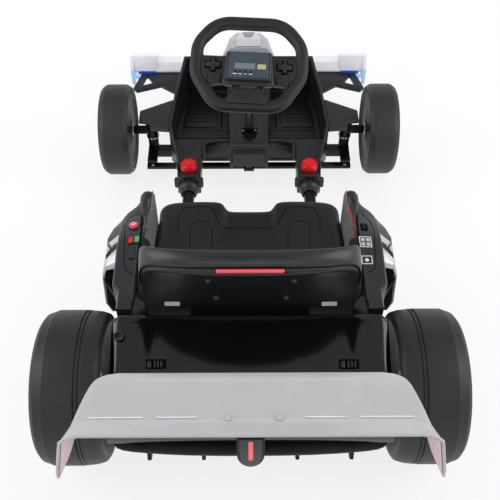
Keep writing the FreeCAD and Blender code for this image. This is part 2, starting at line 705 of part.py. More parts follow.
# Front tub: the open footwells each side of the tunnel, with the necks that hold the rails
def front_tub():
    tub = new_body("front_tub", (0, front_axle, 0))
    wall, rear, front = S.tub_wall, S.tub_rear, S.tub_front
    waist, top = S.tub_waist, S.tub_front_high
    prism(tub, "XY", S.tub_low, top, corners=[[
        (-S.tub_rear_half, rear), (S.tub_rear_half, rear), (S.tub_waist_half, waist),
        (S.tub_front_half, front), (-S.tub_front_half, front), (-S.tub_waist_half, waist),
    ]])
    for side, sign in SIDES:
        rail, half = S.rail_x, S.neck_half
        prism(tub, "XY", S.neck_low, S.tub_side_high, corners=[mirrored(sign, [
            (rail - half, S.neck_rear), (rail + half, S.neck_rear), (rail + half, S.neck_bend),
            (S.tub_rear_half, rear), (rail - half, rear),
        ])])
        # The well, open at the top, and the low rim behind it
        prism(tub, "XY", S.tub_floor, top, cut=True, corners=[mirrored(sign, [
            (S.tunnel_rear_half, rear + wall), (S.tub_rear_half - wall, rear + wall),
            (S.tub_waist_half - wall, waist), (S.tub_front_half - wall, front - wall),
            (S.tunnel_front_half, front - wall),
        ])])
        prism(tub, "XY", S.neck_high, top, cut=True, corners=[mirrored(sign, [
            (0, rear + wall), (S.tub_rear_half - wall, rear + wall), (S.tub_rear_half - wall, rear),
            (rail + half - wall, S.neck_bend), (rail + half + wall, S.neck_bend),
            (rail + half + wall, S.neck_rear), (0, S.neck_rear),
        ])])
        pad_in = S.tunnel_front_half + S.foot_pad_inset
        prism(tub, "XY", S.tub_floor, S.tub_floor + S.foot_pad_thick, corners=[mirrored(sign, [
            (pad_in, S.foot_pad_rear), (S.tub_waist_half - wall - S.foot_pad_inset, S.foot_pad_rear),
            (S.tub_front_half - wall - S.foot_pad_inset, S.foot_pad_front), (pad_in, S.foot_pad_front),
        ])])
        prism(tub, "XZ", rear, rear + S.rear_panel_depth, cut=True, corners=[mirrored(sign, [
            (S.tunnel_rear_half + wall, S.tub_low + wall), (rail - half - wall, S.tub_low + wall),
            (rail - half - wall, S.neck_high - wall), (S.tunnel_rear_half + wall, S.neck_high - wall),
        ])])
    # The rim falls from the front wall to the side and on to the necks
    clear = top + S.tub_wall
    prism(tub, "YZ", -S.tub_rear_half, S.tub_rear_half, cut=True, corners=[[
        (S.neck_bend, S.neck_high), ((S.neck_bend + 2 * rear) / 3, S.tub_shoulder_high),
        (rear, S.tub_side_high), (waist, S.tub_side_high), (front, top), (front, clear),
        (S.neck_bend, clear),
    ]])
    tunnel(tub)
    for side, sign in SIDES:
        prism(tub, "XZ", S.neck_rear, S.rail_front, cut=True, circles=[
            (sign * S.rail_x, S.rail_z, S.rail_radius + S.rail_gap),
        ])
    column_hole(tub)
    keep(tub)


def tunnel(tub):
    """The middle tunnel: its rising top, its rear block and the crank's space under it."""
    wall, rear, front = S.tub_wall, S.tub_rear, S.tub_front
    prism(tub, "YZ", -S.tunnel_front_half, S.tunnel_front_half, cut=True, corners=[[
        (rear, S.tunnel_high), (S.tub_waist, S.tunnel_high), (front - wall, S.tunnel_high + S.tunnel_rise),
        (front - wall, S.tub_front_high), (rear, S.tub_front_high),
    ]])
    half = S.tunnel_rear_half
    prism(tub, "XY", S.tub_low, S.tunnel_high, corners=[
        box_corners(-half, half, S.tunnel_rear, rear + wall),
    ])
    soften(tub, S.neck_bevel, along("x", y=(S.tunnel_rear, S.tunnel_rear), z=(S.tunnel_high, S.tunnel_high)),
           "Chamfer")
    bay = S.crank_bay_half
    prism(tub, "XY", S.tub_low, S.crank_bay_high, cut=True, corners=[
        box_corners(-bay, bay, S.tunnel_rear, S.crank_bay_front),
    ])
    soften(tub, S.neck_bevel, along("y", y=(S.neck_rear, S.neck_bend), z=(S.neck_high, S.neck_high)),
           "Chamfer")


def column_hole(tub):
    """The raked hole that carries the column, cut square to the column."""
    plane = [item for item in tub.Origin.OriginFeatures if item.Role == "XY_Plane"][0]
    sketch = tub.newObject("Sketcher::SketchObject", "front_tub_column_outline")
    sketch.AttachmentSupport = [(plane, "")]
    sketch.MapMode = "FlatFace"
    spin = Rotation(Vector(1, 0, 0), S.column_rake.number)
    sketch.AttachmentOffset = Placement(Vector(0, 0, 0), spin)
    bind(sketch, "AttachmentOffset.Base.y", S.column_foot_y)
    bind(sketch, "AttachmentOffset.Base.z", S.column_foot_z)
    bind(sketch, "AttachmentOffset.Rotation.Angle", S.column_rake)
    draw_circle(sketch, 0, 0, S.column_radius + S.running_gap)
    hole = tub.newObject("PartDesign::Pocket", "front_tub_column_hole")
    hole.Profile = sketch
    hole.Midplane = True
    bind(hole, "Length", (S.tunnel_high - S.crank_bay_high) * 4)
    doc.recompute()


def tub_side(y):
    """Half width of the tub between its rear and its waist."""
    slope = (S.tub_waist_half - S.tub_rear_half) / (S.tub_waist - S.tub_rear)
    return S.tub_rear_half + slope * (y - S.tub_rear)


# Axle shields: moulded covers over the front corners that hold the kingpins' tops
def axle_shields():
    rear, front, tip = S.shield_rear, S.shield_front, S.shield_tip
    for side, sign in SIDES:
        shield = new_body(f"axle_shield_{side}", (0, front_axle, 0))
        top = S.shield_low + S.shield_thick
        corner = rear + S.shield_thick
        prism(shield, "XY", S.shield_low, top, corners=[mirrored(sign, [
            (tub_side(rear), rear), (tip, corner), (tip, 0), (tub_side(front), front),
        ])])
        prism(shield, "XY", S.shield_low - S.shield_flange, S.shield_low, corners=[mirrored(sign, [
            (tub_side(rear), rear), (S.kingpin_x, (rear + corner) / 2),
            (S.kingpin_x, corner), (tub_side(corner), corner),
        ])])
        keep(shield)


# Front beam: runs under the tub and carries a kingpin at each end
def front_beam():
    beam = new_body("front_axle_beam", (0, front_axle, 0))
    half = S.beam_width / 2
    end = S.kingpin_x + half
    prism(beam, "XY", S.beam_low, S.tub_low, corners=[box_corners(-end, end, -half, half)])
    shoulder = S.knuckle_low - S.collar_gap
    for side, sign in SIDES:
        near, far = both_ways(sign, S.kingpin_x - half, end)
        prism(beam, "XY", S.tub_low, shoulder, corners=[box_corners(near, far, -half, half)])
        prism(beam, "XY", shoulder, S.shield_low, circles=[(sign * S.kingpin_x, 0, S.kingpin_radius)])
    keep(beam)


# Nose: a bevelled block ahead of the tub, its sides, brow and tip cut flat
def nose_cone():
    nose = new_body("nose_cone", (0, front_axle, 0))
    root, tip, low, high = S.tub_front, S.nose_reach, S.nose_low, S.nose_root_high
    half, bevel = S.nose_root_half, S.nose_bevel
    prism(nose, "XZ", root, tip, corners=[[
        (-half, low), (half, low), (half, high - bevel * 2), (half - bevel * 2, high),
        (bevel * 2 - half, high), (-half, high - bevel * 2),
    ]])
    for side, sign in SIDES:
        prism(nose, "XY", low, high, cut=True, corners=[mirrored(sign, [
            (half, root), (S.nose_brow_half, S.nose_brow), (S.nose_tip_half, tip), (half, tip),
        ])])
    prism(nose, "YZ", -half, half, cut=True, corners=[[
        (S.nose_brow, high), (tip - bevel, S.nose_tip_high), (tip, (low + S.nose_tip_high) / 2),
        (tip, high),
    ]])
    keep(nose)


# Front wing: a flat sheet with a low ridge, a raised ridge at each end and the endplates
def front_wing():
    wing = new_body("front_wing", (0, front_axle, 0))
    rear, front, top = S.wing_rear, S.wing_front, S.nose_low
    low, half = top - S.wing_thick, S.wing_half
    ridge = rear + (front - rear) / 3
    prism(wing, "XY", low, top, corners=[box_corners(-half, half, rear, front)])
    for side, sign in SIDES:
        for near, far, high in (
            (S.nose_root_half, S.wing_step, S.wing_inner_high),
            (S.wing_step, half, S.wing_outer_high),
        ):
            start, end = both_ways(sign, near, far)
            prism(wing, "YZ", start, end, corners=[[
                (rear, top), (front, top), (front, (top + high) / 2), (ridge, high),
            ]])
        start, end = both_ways(sign, half - S.endplate_thick, half)
        prism(wing, "YZ", start, end, corners=[[
            (rear - S.wing_thick, low), (ridge, S.endplate_low), (front, low),
            (front, (top + S.wing_outer_high) / 2), (ridge, S.wing_outer_high), (rear - S.wing_thick, top),
        ]])
    keep(wing)


# Wing stays: dark plates from the tub's front corners to the wing, each with an open brace
def wing_stays():
    high = S.nose_low - S.wing_thick
    for side, sign in SIDES:
        stay = new_body(f"wing_stay_{side}", (0, front_axle, 0))
        root, bar, tip = S.tub_front_half, S.stay_bar, S.wing_half - S.endplate_thick - S.piece_gap
        front, wing = S.tub_front + S.piece_gap, S.wing_rear
        prism(stay, "XY", high - S.stay_thick, high, corners=[
            mirrored(sign, [
                (root - bar, front), (root + S.tub_wall, front), (root + S.tub_wall * 3, S.stay_rear - bar),
                (root + bar * 6, S.stay_rear + bar * 2), (tip - bar, S.stay_rear),
                (tip, S.stay_rear + bar), (tip - bar * 2, wing + bar), (root - bar, wing + bar),
            ]),
            mirrored(sign, [
                (root + bar * 8, S.stay_rear + bar * 3), (tip - bar * 2, S.stay_rear + bar * 2),
                (tip - bar * 3, wing - bar),
            ]),
        ])
        keep(stay)


def flats_round(count, radius):
    """Corners of a fluted grip: a ring of flats inside a radius."""
    turns = [2 * math.pi * (index + 0.5) / count for index in range(count)]
    return [(radius * math.cos(turn), radius * math.sin(turn)) for turn in turns]


# Rails: straight tubes that join the front and rear units, clamped at the necks
def rails():
    for side, sign in SIDES:
        rail = new_body(f"rail_{side}", (sign * S.rail_x, 0, S.rail_z))
        prism(rail, "XZ", S.rail_rear, front_axle + S.rail_front, circles=[(0, 0, S.rail_radius)])
        keep(rail)

        collar = new_body(f"rail_collar_{side}", (sign * S.rail_x, neck_rear, S.rail_z))
        half, ear = S.collar_half, S.collar_ear
        prism(collar, "XZ", -S.collar_length, 0, corners=[[
            (-half, -ear), (-ear, -half), (ear, -half), (half, -ear),
            (half, ear), (ear, half), (-ear, half), (-half, ear),
        ]], circles=[(0, 0, S.rail_radius + S.rail_gap)])
        keep(collar)

        knob = new_body(f"rail_knob_{side}", (sign * S.rail_x, front_axle + S.knob_y, 0))
        prism(knob, "XY", S.neck_high, S.knob_high, corners=[flats_round(KNOB_FLATS, S.knob_radius)])
        keep(knob)


# Rear frame: square tubes round the rails, cross bars, axle plates and the battery tray
def rear_frame():
    frame = new_body("rear_frame")
    half, bar = S.sleeve_half, S.cross_bar
    low, high = S.rail_z - bar / 2, S.rail_z + bar / 2
    rail = S.rail_x
    for level in (S.sleeve_rear, S.sleeve_front - bar * 1.5):
        prism(frame, "XY", low, high, corners=[box_corners(-rail, rail, level, level + bar)])
    drop = S.deck_wall * 2
    shelf = S.deck_front - S.deck_wall
    for side, sign in SIDES:
        near, far = both_ways(sign, rail - half, rail + half)
        prism(frame, "XY", S.rail_z - half, S.rail_z + half, corners=[
            box_corners(near, far, S.sleeve_rear, S.sleeve_front),
        ])
        near, far = both_ways(sign, rail, rail + S.axle_plate_thick)
        plate = S.axle_plate_half
        axle = S.rear_wheel_radius
        prism(frame, "YZ", near, far, corners=[[
            (-plate, axle - plate), (plate, low), (S.sleeve_rear + bar, low),
            (S.sleeve_rear + bar, high), (shelf, S.battery_low),
            (shelf, S.deck_front_high - drop - deck_fall * S.deck_wall),
            (plate, S.deck_front_high - drop - deck_fall * (S.deck_front - plate)), (-plate, axle + plate),
        ]])
    prism(frame, "XY", S.battery_low - S.tray_thick, S.battery_low, corners=[
        box_corners(-rail, rail, S.battery_rear, S.battery_front),
    ])
    for side, sign in SIDES:
        prism(frame, "XZ", S.rail_rear, S.sleeve_front, cut=True, circles=[
            (sign * rail, S.rail_z, S.rail_radius + S.rail_gap),
        ])
    reach = rail + S.axle_plate_thick
    prism(frame, "YZ", -reach, reach, cut=True, circles=[
        (0, S.rear_wheel_radius, S.rear_axle_radius + S.running_gap),
    ])
    keep(frame)


def rear_axle():
    axle = new_body("rear_axle", (0, 0, S.rear_wheel_radius))
    end = rear_wheel_outer - S.axle_end_gap
    prism(axle, "YZ", -end, end, circles=[(0, 0, S.rear_axle_radius)])
    keep(axle)


# Heavy masses: the battery and one drive unit beside each rear wheel
def heavy_masses():
    battery = new_body("battery_block")
    prism(battery, "XY", S.battery_low, S.battery_high, corners=[
        box_corners(-S.battery_half, S.battery_half, S.battery_rear, S.battery_front),
    ])
    keep(battery)
    rear, front, low, high = S.gearbox_rear, S.gearbox_front, S.gearbox_low, S.gearbox_high
    bevel = S.gearbox_bevel
    outline = [
        (rear, low), (front - bevel, low), (front, low + bevel), (front, high - bevel),
        (front - bevel, high), (rear + bevel, high), (rear, high - bevel),
    ]
    for side, sign in SIDES:
        box = new_body(f"drive_unit_{side}", (0, 0, S.rear_wheel_radius))
        near, far = both_ways(sign, S.gearbox_inner, S.gearbox_outer)
        bore = (0, 0, S.rear_axle_radius + S.running_gap)
        prism(box, "YZ", near, far, corners=[outline], circles=[bore])
        keep(box)


# Seat: the moulded bucket, its hollowed back with the padded rim, and the brake light
def seat():
    base = new_body("seat_base")
    rear, front, lip, dip = seat_rear, S.seat_front, S.seat_lip, S.seat_dip
    roll = (lip - dip) / 4

    def profile(rise):
        """Side view of the seat, its hollow lifted by a rise."""
        return [
            (rear, S.seat_low), (front, S.seat_low), (front, lip - roll), (front - roll, lip),
            (front - roll * 3, lip - roll / 2 + rise / 2), (front - S.seat_fall, dip + roll / 2 + rise),
            (front - S.seat_fall * 1.5, dip + rise), (rear, dip + roll / 2 + rise),
        ]

    prism(base, "YZ", -S.seat_half, S.seat_half, corners=[profile(as_size(0))])
    for side, sign in SIDES:
        near, far = both_ways(sign, S.seat_half - S.seat_ridge, S.seat_half)
        prism(base, "YZ", near, far, corners=[profile(S.seat_ridge_high)])
    notch, depth = S.seat_notch_half, S.seat_notch
    prism(base, "XY", S.seat_low, lip + roll, cut=True, corners=[[
        (-notch, front - depth), (notch, front - depth), (notch + roll, front), (-notch - roll, front),
    ]])
    keep(base)
    seat_back()


def seat_back():
    back = new_body("seat_back")
    half, foot, high = S.back_half, S.back_foot, S.back_high
    face = foot - S.back_lean
    shell = S.back_shell
    shelf = S.deck_front_high + S.piece_gap * 2
    waist = (shelf + high) / 2
    prism(back, "YZ", -half, half, corners=[[
        (foot - S.back_thick, S.back_low), (foot, S.back_low), (face, high), (shell, high),
        (shell, high - S.back_rim_drop), (shell + S.back_lean, waist - S.back_rim_drop),
        (foot - S.back_thick, shelf),
    ]])
    inner = half - S.back_wing
    prism(back, "YZ", -inner, inner, cut=True, corners=[[
        (foot, S.seat_dip + S.seat_ridge_high), (foot - S.back_hollow, S.seat_dip + S.seat_ridge_high * 3),
        (face - S.back_hollow, high), (foot, high),
    ]])
    sweep_corners(back, half, shell, S.back_low, high)
    keep(back)

    rim = new_body("seat_back_rim")
    low, top = S.back_high, S.back_rim_high
    end = half + S.piece_gap * 4
    behind = shell - S.back_rim_lap
    prism(rim, "YZ", -end, end, corners=[[
        (behind, low), (face + S.piece_gap * 4, low), (face, (low + top) / 2), (face - S.back_hollow, top),
        (behind + S.back_rim_lap, top), (behind, (low + top * 2) / 3),
    ]])
    for side, sign in SIDES:
        prism(rim, "XZ", behind, face + S.back_hollow, cut=True, corners=[mirrored(sign, [
            (inner - S.back_wing / 2, top), (end, top - S.back_rim_drop), (end, top),
        ])])
    sweep_corners(rim, end, behind, low, top)
    prism(rim, "XY", low, top, cut=True, corners=[[
        (-inner, face + S.back_hollow), (inner, face + S.back_hollow),
        (inner - S.back_wing / 2, face - S.back_hollow / 2), (S.back_wing / 2 - inner, face - S.back_hollow / 2),
    ]])
    keep(rim)

    light = new_body("brake_light")
    reach = S.brake_light_half
    middle = (low + low + top) / 3
    prism(light, "YZ", -reach, reach, corners=[
        box_corners(behind - S.brake_light_proud, behind, middle - S.brake_light_high / 2,
                    middle + S.brake_light_high / 2),
    ])
    keep(light)


def sweep_corners(body, half, rear, low, high):
    """Cuts the two rear corners off so that the back curves forward at its sides."""
    for side, sign in SIDES:
        reach = half - S.back_wing * 1.5
        prism(body, "XY", low, high, cut=True, corners=[mirrored(sign, [
            (reach, rear), (half - S.back_wing / 3, rear + S.back_corner / 2),
            (half, rear + S.back_corner), (half + 1, rear),
        ])])


def bolsters():
    rear, front, high = seat_rear, S.bolster_front, S.bolster_high
    for side, sign in SIDES:
        low, top = both_ways(sign, bolster_inner, bolster_inner + S.bolster_thick)
        bolster = new_body(f"bolster_{side}")
        bevel = S.bolster_bevel
        prism(bolster, "YZ", low, top, corners=[[
            (rear, S.seat_low), (front, S.seat_low), (front + bevel, S.seat_lip),
            (front, high - bevel * 3), (front - bevel * 2, high - bevel / 2), (front - bevel * 4, high),
            (front - bevel * 9, high - bevel), (rear + (front - rear) / 3, S.bolster_rear_high),
            (rear, S.bolster_rear_high),
        ]])
        soften(bolster, bevel / 2, lambda edge: edge_runs_above(edge, S.bolster_rear_high), "Chamfer")
        keep(bolster)


def edge_runs_above(edge, height):
    """True for a piece's top side edges: straight, not across the kart, above the height."""
    ends = [vertex.Point for vertex in edge.Vertexes]
    if len(ends) != 2 or abs(ends[0].x - ends[1].x) > 0.01:
        return False
    return all(end.z > number(height) - 0.01 for end in ends) and abs(ends[0].y - ends[1].y) > 1


# Consoles: the closed mouldings beside the seat that carry the controls
def consoles():
    inner, outer, back_outer = console_inner, console_outer, console_back_outer
    rear, nose, step = S.console_rear, S.console_nose, console_step
    for side, sign in SIDES:
        console = new_body(f"console_{side}")
        prism(console, "XY", S.pod_low, S.console_high, corners=[mirrored(sign, [
            (inner, rear), (back_outer, rear), (back_outer, step - S.console_bevel),
            (outer, step), (outer, nose), (inner, nose),
        ])])
        near, far = both_ways(sign, inner, outer)
        ridge = (S.console_knee + step) / 2
        prism(console, "YZ", near, far, cut=True, corners=[[
            (rear, S.console_rear_high), (ridge, S.console_high),
            (rear, S.console_high),
        ], [
            (ridge, S.console_high), (S.console_knee, S.pod_high), (nose, S.console_nose_high),
            (nose, S.console_high),
        ]])
        arch = S.rear_wheel_radius + S.pod_foot / 2
        prism(console, "YZ", near, far, cut=True, corners=[[
            (rear, S.pod_low), (rear, arch), (step, arch), (S.pod_rear, S.pod_low),
        ]])
        keep(console)


def side_pods():
    for side, sign in SIDES:
        inner, outer = pod_inner, pod_outer
        low, high, nose = S.pod_low, S.pod_high, S.console_nose
        pod = new_body(f"side_pod_{side}")
        lip = S.pod_width / 4
        prism(pod, "XZ", S.pod_rear, nose, corners=[mirrored(sign, [
            (inner, low), (outer - lip, low), (outer, low + S.pod_foot),
            (outer - lip / 2, high - S.pod_shoulder), (inner + lip, high), (inner, high),
        ])])
        prism(pod, "XY", low, high, cut=True, corners=[mirrored(sign, [
            (outer, nose - S.pod_sweep), (outer, nose), (inner + lip, nose),
        ])])
        rear_fall = S.pod_rear + S.pod_shoulder / 2
        near, far = both_ways(sign, inner, outer)
        prism(pod, "YZ", near, far, cut=True, corners=[[
            (S.pod_rear, high - S.pod_shoulder / 2), (rear_fall, high), (S.pod_rear, high),
        ]])
        keep(pod)


# Rear deck: a thin shell over the axle, sloping down to the tail
def rear_deck():
    deck = new_body("rear_deck")
    front, rear, wall, low = S.deck_front, S.deck_rear, S.deck_wall, S.deck_low
    prism(deck, "YZ", -deck_half, deck_half, corners=[[
        (front, low), (front, S.deck_front_high), (rear, S.deck_rear_high), (rear, low),
    ]])
    soften(deck, S.deck_corner, along("z", y=(front, front)), "Chamfer")

    def side_top(edge):
        return edge_runs_above(edge, S.deck_rear_high) and abs(edge.CenterOfMass.x) > number(deck_half) - 0.01

    soften(deck, S.deck_bevel, side_top, "Chamfer")
    inner = deck_half - wall
    narrow = inner - S.deck_corner
    prism(deck, "YZ", -inner, inner, cut=True, corners=[[
        (front - S.deck_corner, low), (front - S.deck_corner, S.deck_front_high - wall - deck_fall * S.deck_corner),
        (rear + wall, S.deck_rear_high - wall), (rear + wall, low),
    ]])
    prism(deck, "YZ", -narrow, narrow, cut=True, corners=[[
        (front, low), (front, S.deck_front_high - wall * 1.2), (rear + wall, S.deck_rear_high - wall * 1.2),
        (rear + wall, low),
    ]])
    prism(deck, "XY", S.port_high - S.port_depth * 2, S.deck_front_high, cut=True, circles=[
        (-port_x, S.port_y, S.port_radius / EIGHTH_TURN + S.running_gap),
    ])
    keep(deck)

    port = new_body("charge_port", (-port_x, S.port_y, 0))
    floor = S.port_high - S.port_depth
    prism(port, "XY", floor - S.port_floor, S.port_high, corners=[eight_sides(S.port_radius)])
    prism(port, "XY", floor, S.port_high, cut=True, circles=[(0, 0, S.port_bore)])
    keep(port)
    tail(rear)


def tail(rear):
    """The diffuser under the deck's tail with its fins, and the boss for the tail light."""
    diffuser = new_body("diffuser")
    low, high, wall = S.diffuser_low, S.deck_low, S.diffuser_wall
    half = deck_half - S.diffuser_inset
    middle = (low + high) / 2
    prism(diffuser, "YZ", -half, half, corners=[[
        (rear, high), (rear - wall, high), (rear - wall, middle), (S.diffuser_front, low),
        (S.diffuser_front, low + wall), (rear, middle + wall),
    ]])
    for place in (-S.fin_outer, -S.fin_inner, S.fin_inner, S.fin_outer):
        prism(diffuser, "YZ", place - S.fin_thick / 2, place + S.fin_thick / 2, corners=[[
            (rear - wall / 2, high - wall), (rear - wall * 3, middle), (rear - wall * 3, low),
            (S.diffuser_front - wall * 4, low - wall), (S.diffuser_front - wall * 4, low + wall * 2),
            (rear - wall / 2, middle + wall / 2),
        ]])
    keep(diffuser)

    boss = new_body("tail_boss", (0, rear - wall - S.piece_gap, 0))
    width, deep = S.boss_half, S.boss_deep
    prism(boss, "XZ", -deep, 0, corners=[box_corners(-width, width, S.boss_low, S.boss_high)])
    soften(boss, width * 0.9, along("y", z=(S.boss_low, S.boss_low)))
    prism(boss, "YZ", -width, width, cut=True, corners=[[
        (-deep, S.boss_high), (-deep, (S.boss_low + S.boss_high) / 2), (-deep / 2, S.boss_high),
    ]])
    keep(boss)


# Rear wing: a thin sheet with a ridge across it, sloping endplates and two struts
def rear_wing():
    wing = new_body("rear_wing")
    front, front_high = S.tail_wing_front, S.tail_wing_front_high
    ridge, ridge_high = S.tail_wing_ridge, S.tail_wing_ridge_high
    lip, lip_high = S.tail_wing_lip, S.tail_wing_lip_high
    half, thick, low = S.tail_wing_half, S.tail_wing_thick, S.tail_plate_low
    tail_end = -S.tail_reach
    prism(wing, "YZ", -half, half, corners=[[
        (front, front_high), (ridge, ridge_high), (lip, lip_high),
        (lip, lip_high - thick), (ridge, ridge_high - thick), (front, front_high - thick),
    ]])
    splay = half + S.tail_plate_splay
    for side, sign in SIDES:
        prism(wing, "XZ", tail_end, front, corners=[mirrored(sign, [
            (half, ridge_high), (half - thick, ridge_high - thick), (splay - thick, low), (splay, low),
        ])])
        near, far = both_ways(sign, half - thick * 2, splay)
        prism(wing, "YZ", near, far, cut=True, corners=[[
            (front, low), (tail_end, low), (tail_end + thick * 2, low), (front, front_high - thick),
        ]])
        prism(wing, "YZ", near, far, cut=True, corners=[[
            (front, front_high), (ridge, ridge_high), (lip, lip_high),
            (tail_end, lip_high - S.tail_plate_splay), (tail_end, ridge_high), (front, ridge_high),
        ]])
    keep(wing)

    rise = (ridge_high - front_high) / (front - ridge)
    foot, chord = S.strut_root, S.strut_chord
    for side, sign in SIDES:
        strut = new_body(f"wing_strut_{side}")
        near, far = both_ways(sign, S.strut_x - S.strut_thick / 2, S.strut_x + S.strut_thick / 2)
        head = front - S.strut_thick
        prism(strut, "YZ", near, far, corners=[[
            (foot - chord, S.deck_rear_high + deck_fall * (foot - chord - S.deck_rear)),
            (foot, S.deck_rear_high + deck_fall * (foot - S.deck_rear)),
            (head, front_high - thick + rise * (front - head)),
            (head - chord, front_high - thick + rise * (front - head + chord)),
        ]])
        keep(strut)


rear_wheels()
front_wheels()
knuckles()
tie_bar()
steering()
front_tub()
axle_shields()
front_beam()
nose_cone()
front_wing()
wing_stays()
rails()
rear_frame()
rear_axle()
heavy_masses()
seat()
bolsters()
consoles()
side_pods()
rear_deck()
rear_wing()

doc.recompute()
for item in doc.Objects:
    states = [state for state in item.State if state in ("Invalid", "Error")]
    if states:
        raise RuntimeError(f"{item.Label} is {states}")
for body in pieces:
    if body.Shape.isNull() or not body.Shape.isValid():
        raise RuntimeError(f"{body.Label} has no valid shape")

os.makedirs("parts", exist_ok=True)
for body in pieces:
    body.Shape.exportStep(f"parts/{body.Label}.step")
    box = body.Shape.BoundBox
    print(f"{body.Label:20s} solids {len(body.Shape.Solids)} volume {body.Shape.Volume / 1000:8.1f} cm3",
          f"X {box.XMin:7.1f} {box.XMax:7.1f} Y {box.YMin:7.1f} {box.YMax:7.1f}",
          f"Z {box.ZMin:6.1f} {box.ZMax:6.1f}")
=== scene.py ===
# %% [markdown]
# # Dressing an electric drift kart
# The real object is a child's battery kart: a long low frame, four hard plastic wheels, a moulded bucket
# seat and a pale clear wing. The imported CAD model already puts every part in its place. This lesson gives
# each part the edges, grooves and finish that a mould, a lathe or a spray gun leaves on the real one.

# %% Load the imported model
import json
import math

import bmesh
import bpy
from mathutils import Matrix, Vector
from mathutils.bvhtree import BVHTree
from mathutils.geometry import tessellate_polygon

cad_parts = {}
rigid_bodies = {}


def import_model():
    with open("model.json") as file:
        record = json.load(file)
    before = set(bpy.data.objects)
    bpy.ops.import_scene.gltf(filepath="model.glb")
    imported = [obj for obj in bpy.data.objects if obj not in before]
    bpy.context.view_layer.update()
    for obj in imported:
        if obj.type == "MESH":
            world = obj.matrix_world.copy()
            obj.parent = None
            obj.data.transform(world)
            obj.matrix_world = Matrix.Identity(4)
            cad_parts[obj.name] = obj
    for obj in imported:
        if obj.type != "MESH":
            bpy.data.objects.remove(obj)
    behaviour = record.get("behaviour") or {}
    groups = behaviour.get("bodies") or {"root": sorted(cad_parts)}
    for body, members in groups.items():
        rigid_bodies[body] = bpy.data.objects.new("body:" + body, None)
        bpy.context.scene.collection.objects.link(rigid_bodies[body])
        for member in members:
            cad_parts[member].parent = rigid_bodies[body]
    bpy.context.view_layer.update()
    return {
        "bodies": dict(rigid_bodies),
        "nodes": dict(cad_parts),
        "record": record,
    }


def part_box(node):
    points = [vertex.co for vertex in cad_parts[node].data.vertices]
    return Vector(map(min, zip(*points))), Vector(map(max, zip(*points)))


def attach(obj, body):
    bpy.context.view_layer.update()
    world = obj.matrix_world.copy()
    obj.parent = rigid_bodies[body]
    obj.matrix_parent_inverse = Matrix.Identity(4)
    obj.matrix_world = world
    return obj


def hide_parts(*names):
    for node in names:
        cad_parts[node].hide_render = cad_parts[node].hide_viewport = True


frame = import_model()

# %% [markdown]
# All sizes are easier to think about in millimetres, measured from the rear axle on the floor. Two small
# functions turn such a place into the model's metres and back, so that every number below can be held
# against a ruler.

# %% Millimetres from the rear axle
MM = 0.001
axle_low, axle_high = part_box("rear_axle")
REAR_AXLE_Y = (axle_low.y + axle_high.y) / 2


def spot(x, y, z):
    """A place on the kart: x to the right, y forward of the rear axle, z above the floor, in millimetres."""
    return Vector((x * MM, REAR_AXLE_Y + y * MM, z * MM))


def edges_of(node):
    """A CAD node's box in the same millimetres: left, right, back, front, bottom, top."""
    low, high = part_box(node)
    return (low.x / MM, high.x / MM, (low.y - REAR_AXLE_Y) / MM, (high.y - REAR_AXLE_Y) / MM, low.z / MM,
            high.z / MM)


print("rear axle at y", round(REAR_AXLE_Y, 4), "and the seat back spans",
      [round(v) for v in edges_of("seat_back")])

# %% [markdown]
# Colours are written as the hex values one would pick from a screen. Blender computes with light, so one
# function turns each of them to linear values.

# %% Screen colours to linear light
def colour(code, factor=1.0):
    """The linear colour of an sRGB hex code, lightened or darkened by a factor."""
    values = [int(code[i:i + 2], 16) / 255 for i in (1, 3, 5)]
    linear = [v / 12.92 if v <= 0.04045 else ((v + 0.055) / 1.055) ** 2.4 for v in values]
    return (*[min(1.0, v * factor) for v in linear], 1.0)


def empty_tree(owner):
    """The node tree of a material or a world, with nothing in it."""
    owner.use_nodes = True
    owner.node_tree.nodes.clear()
    return owner.node_tree


def add(tree, kind, settings=None, links=None):
    """Adds one node with its settings and the sockets that feed it."""
    node = tree.nodes.new(kind)
    for name, value in (settings or {}).items():
        if isinstance(name, int) or name in node.inputs.keys():
            node.inputs[name].default_value = value
        else:
            setattr(node, name, value)
    for name, source in (links or {}).items():
        tree.links.new(source, node.inputs[name])
    return node


print("black plastic in linear light", [round(v, 4) for v in colour("#1A1B1D")[:3]])

# %% [markdown]
# Nearly everything on a toy kart is moulded plastic. A mould is textured by sparks or acid, and the plastic
# takes that grain, a slight change of tone where it cooled unevenly, and hand marks that change its gloss.
# So one function makes a moulded surface from five facts: its tone, its gloss, the size and depth of its
# grain, and how far the tone drifts. The real grain is 0.2 to 0.4 mm, too fine for this picture, so it is
# drawn at 1 to 2 mm.

# %% A moulded or painted surface
MATERIALS = {}
CLOUD = 45 * MM
GLOSS_DRIFT = 0.12


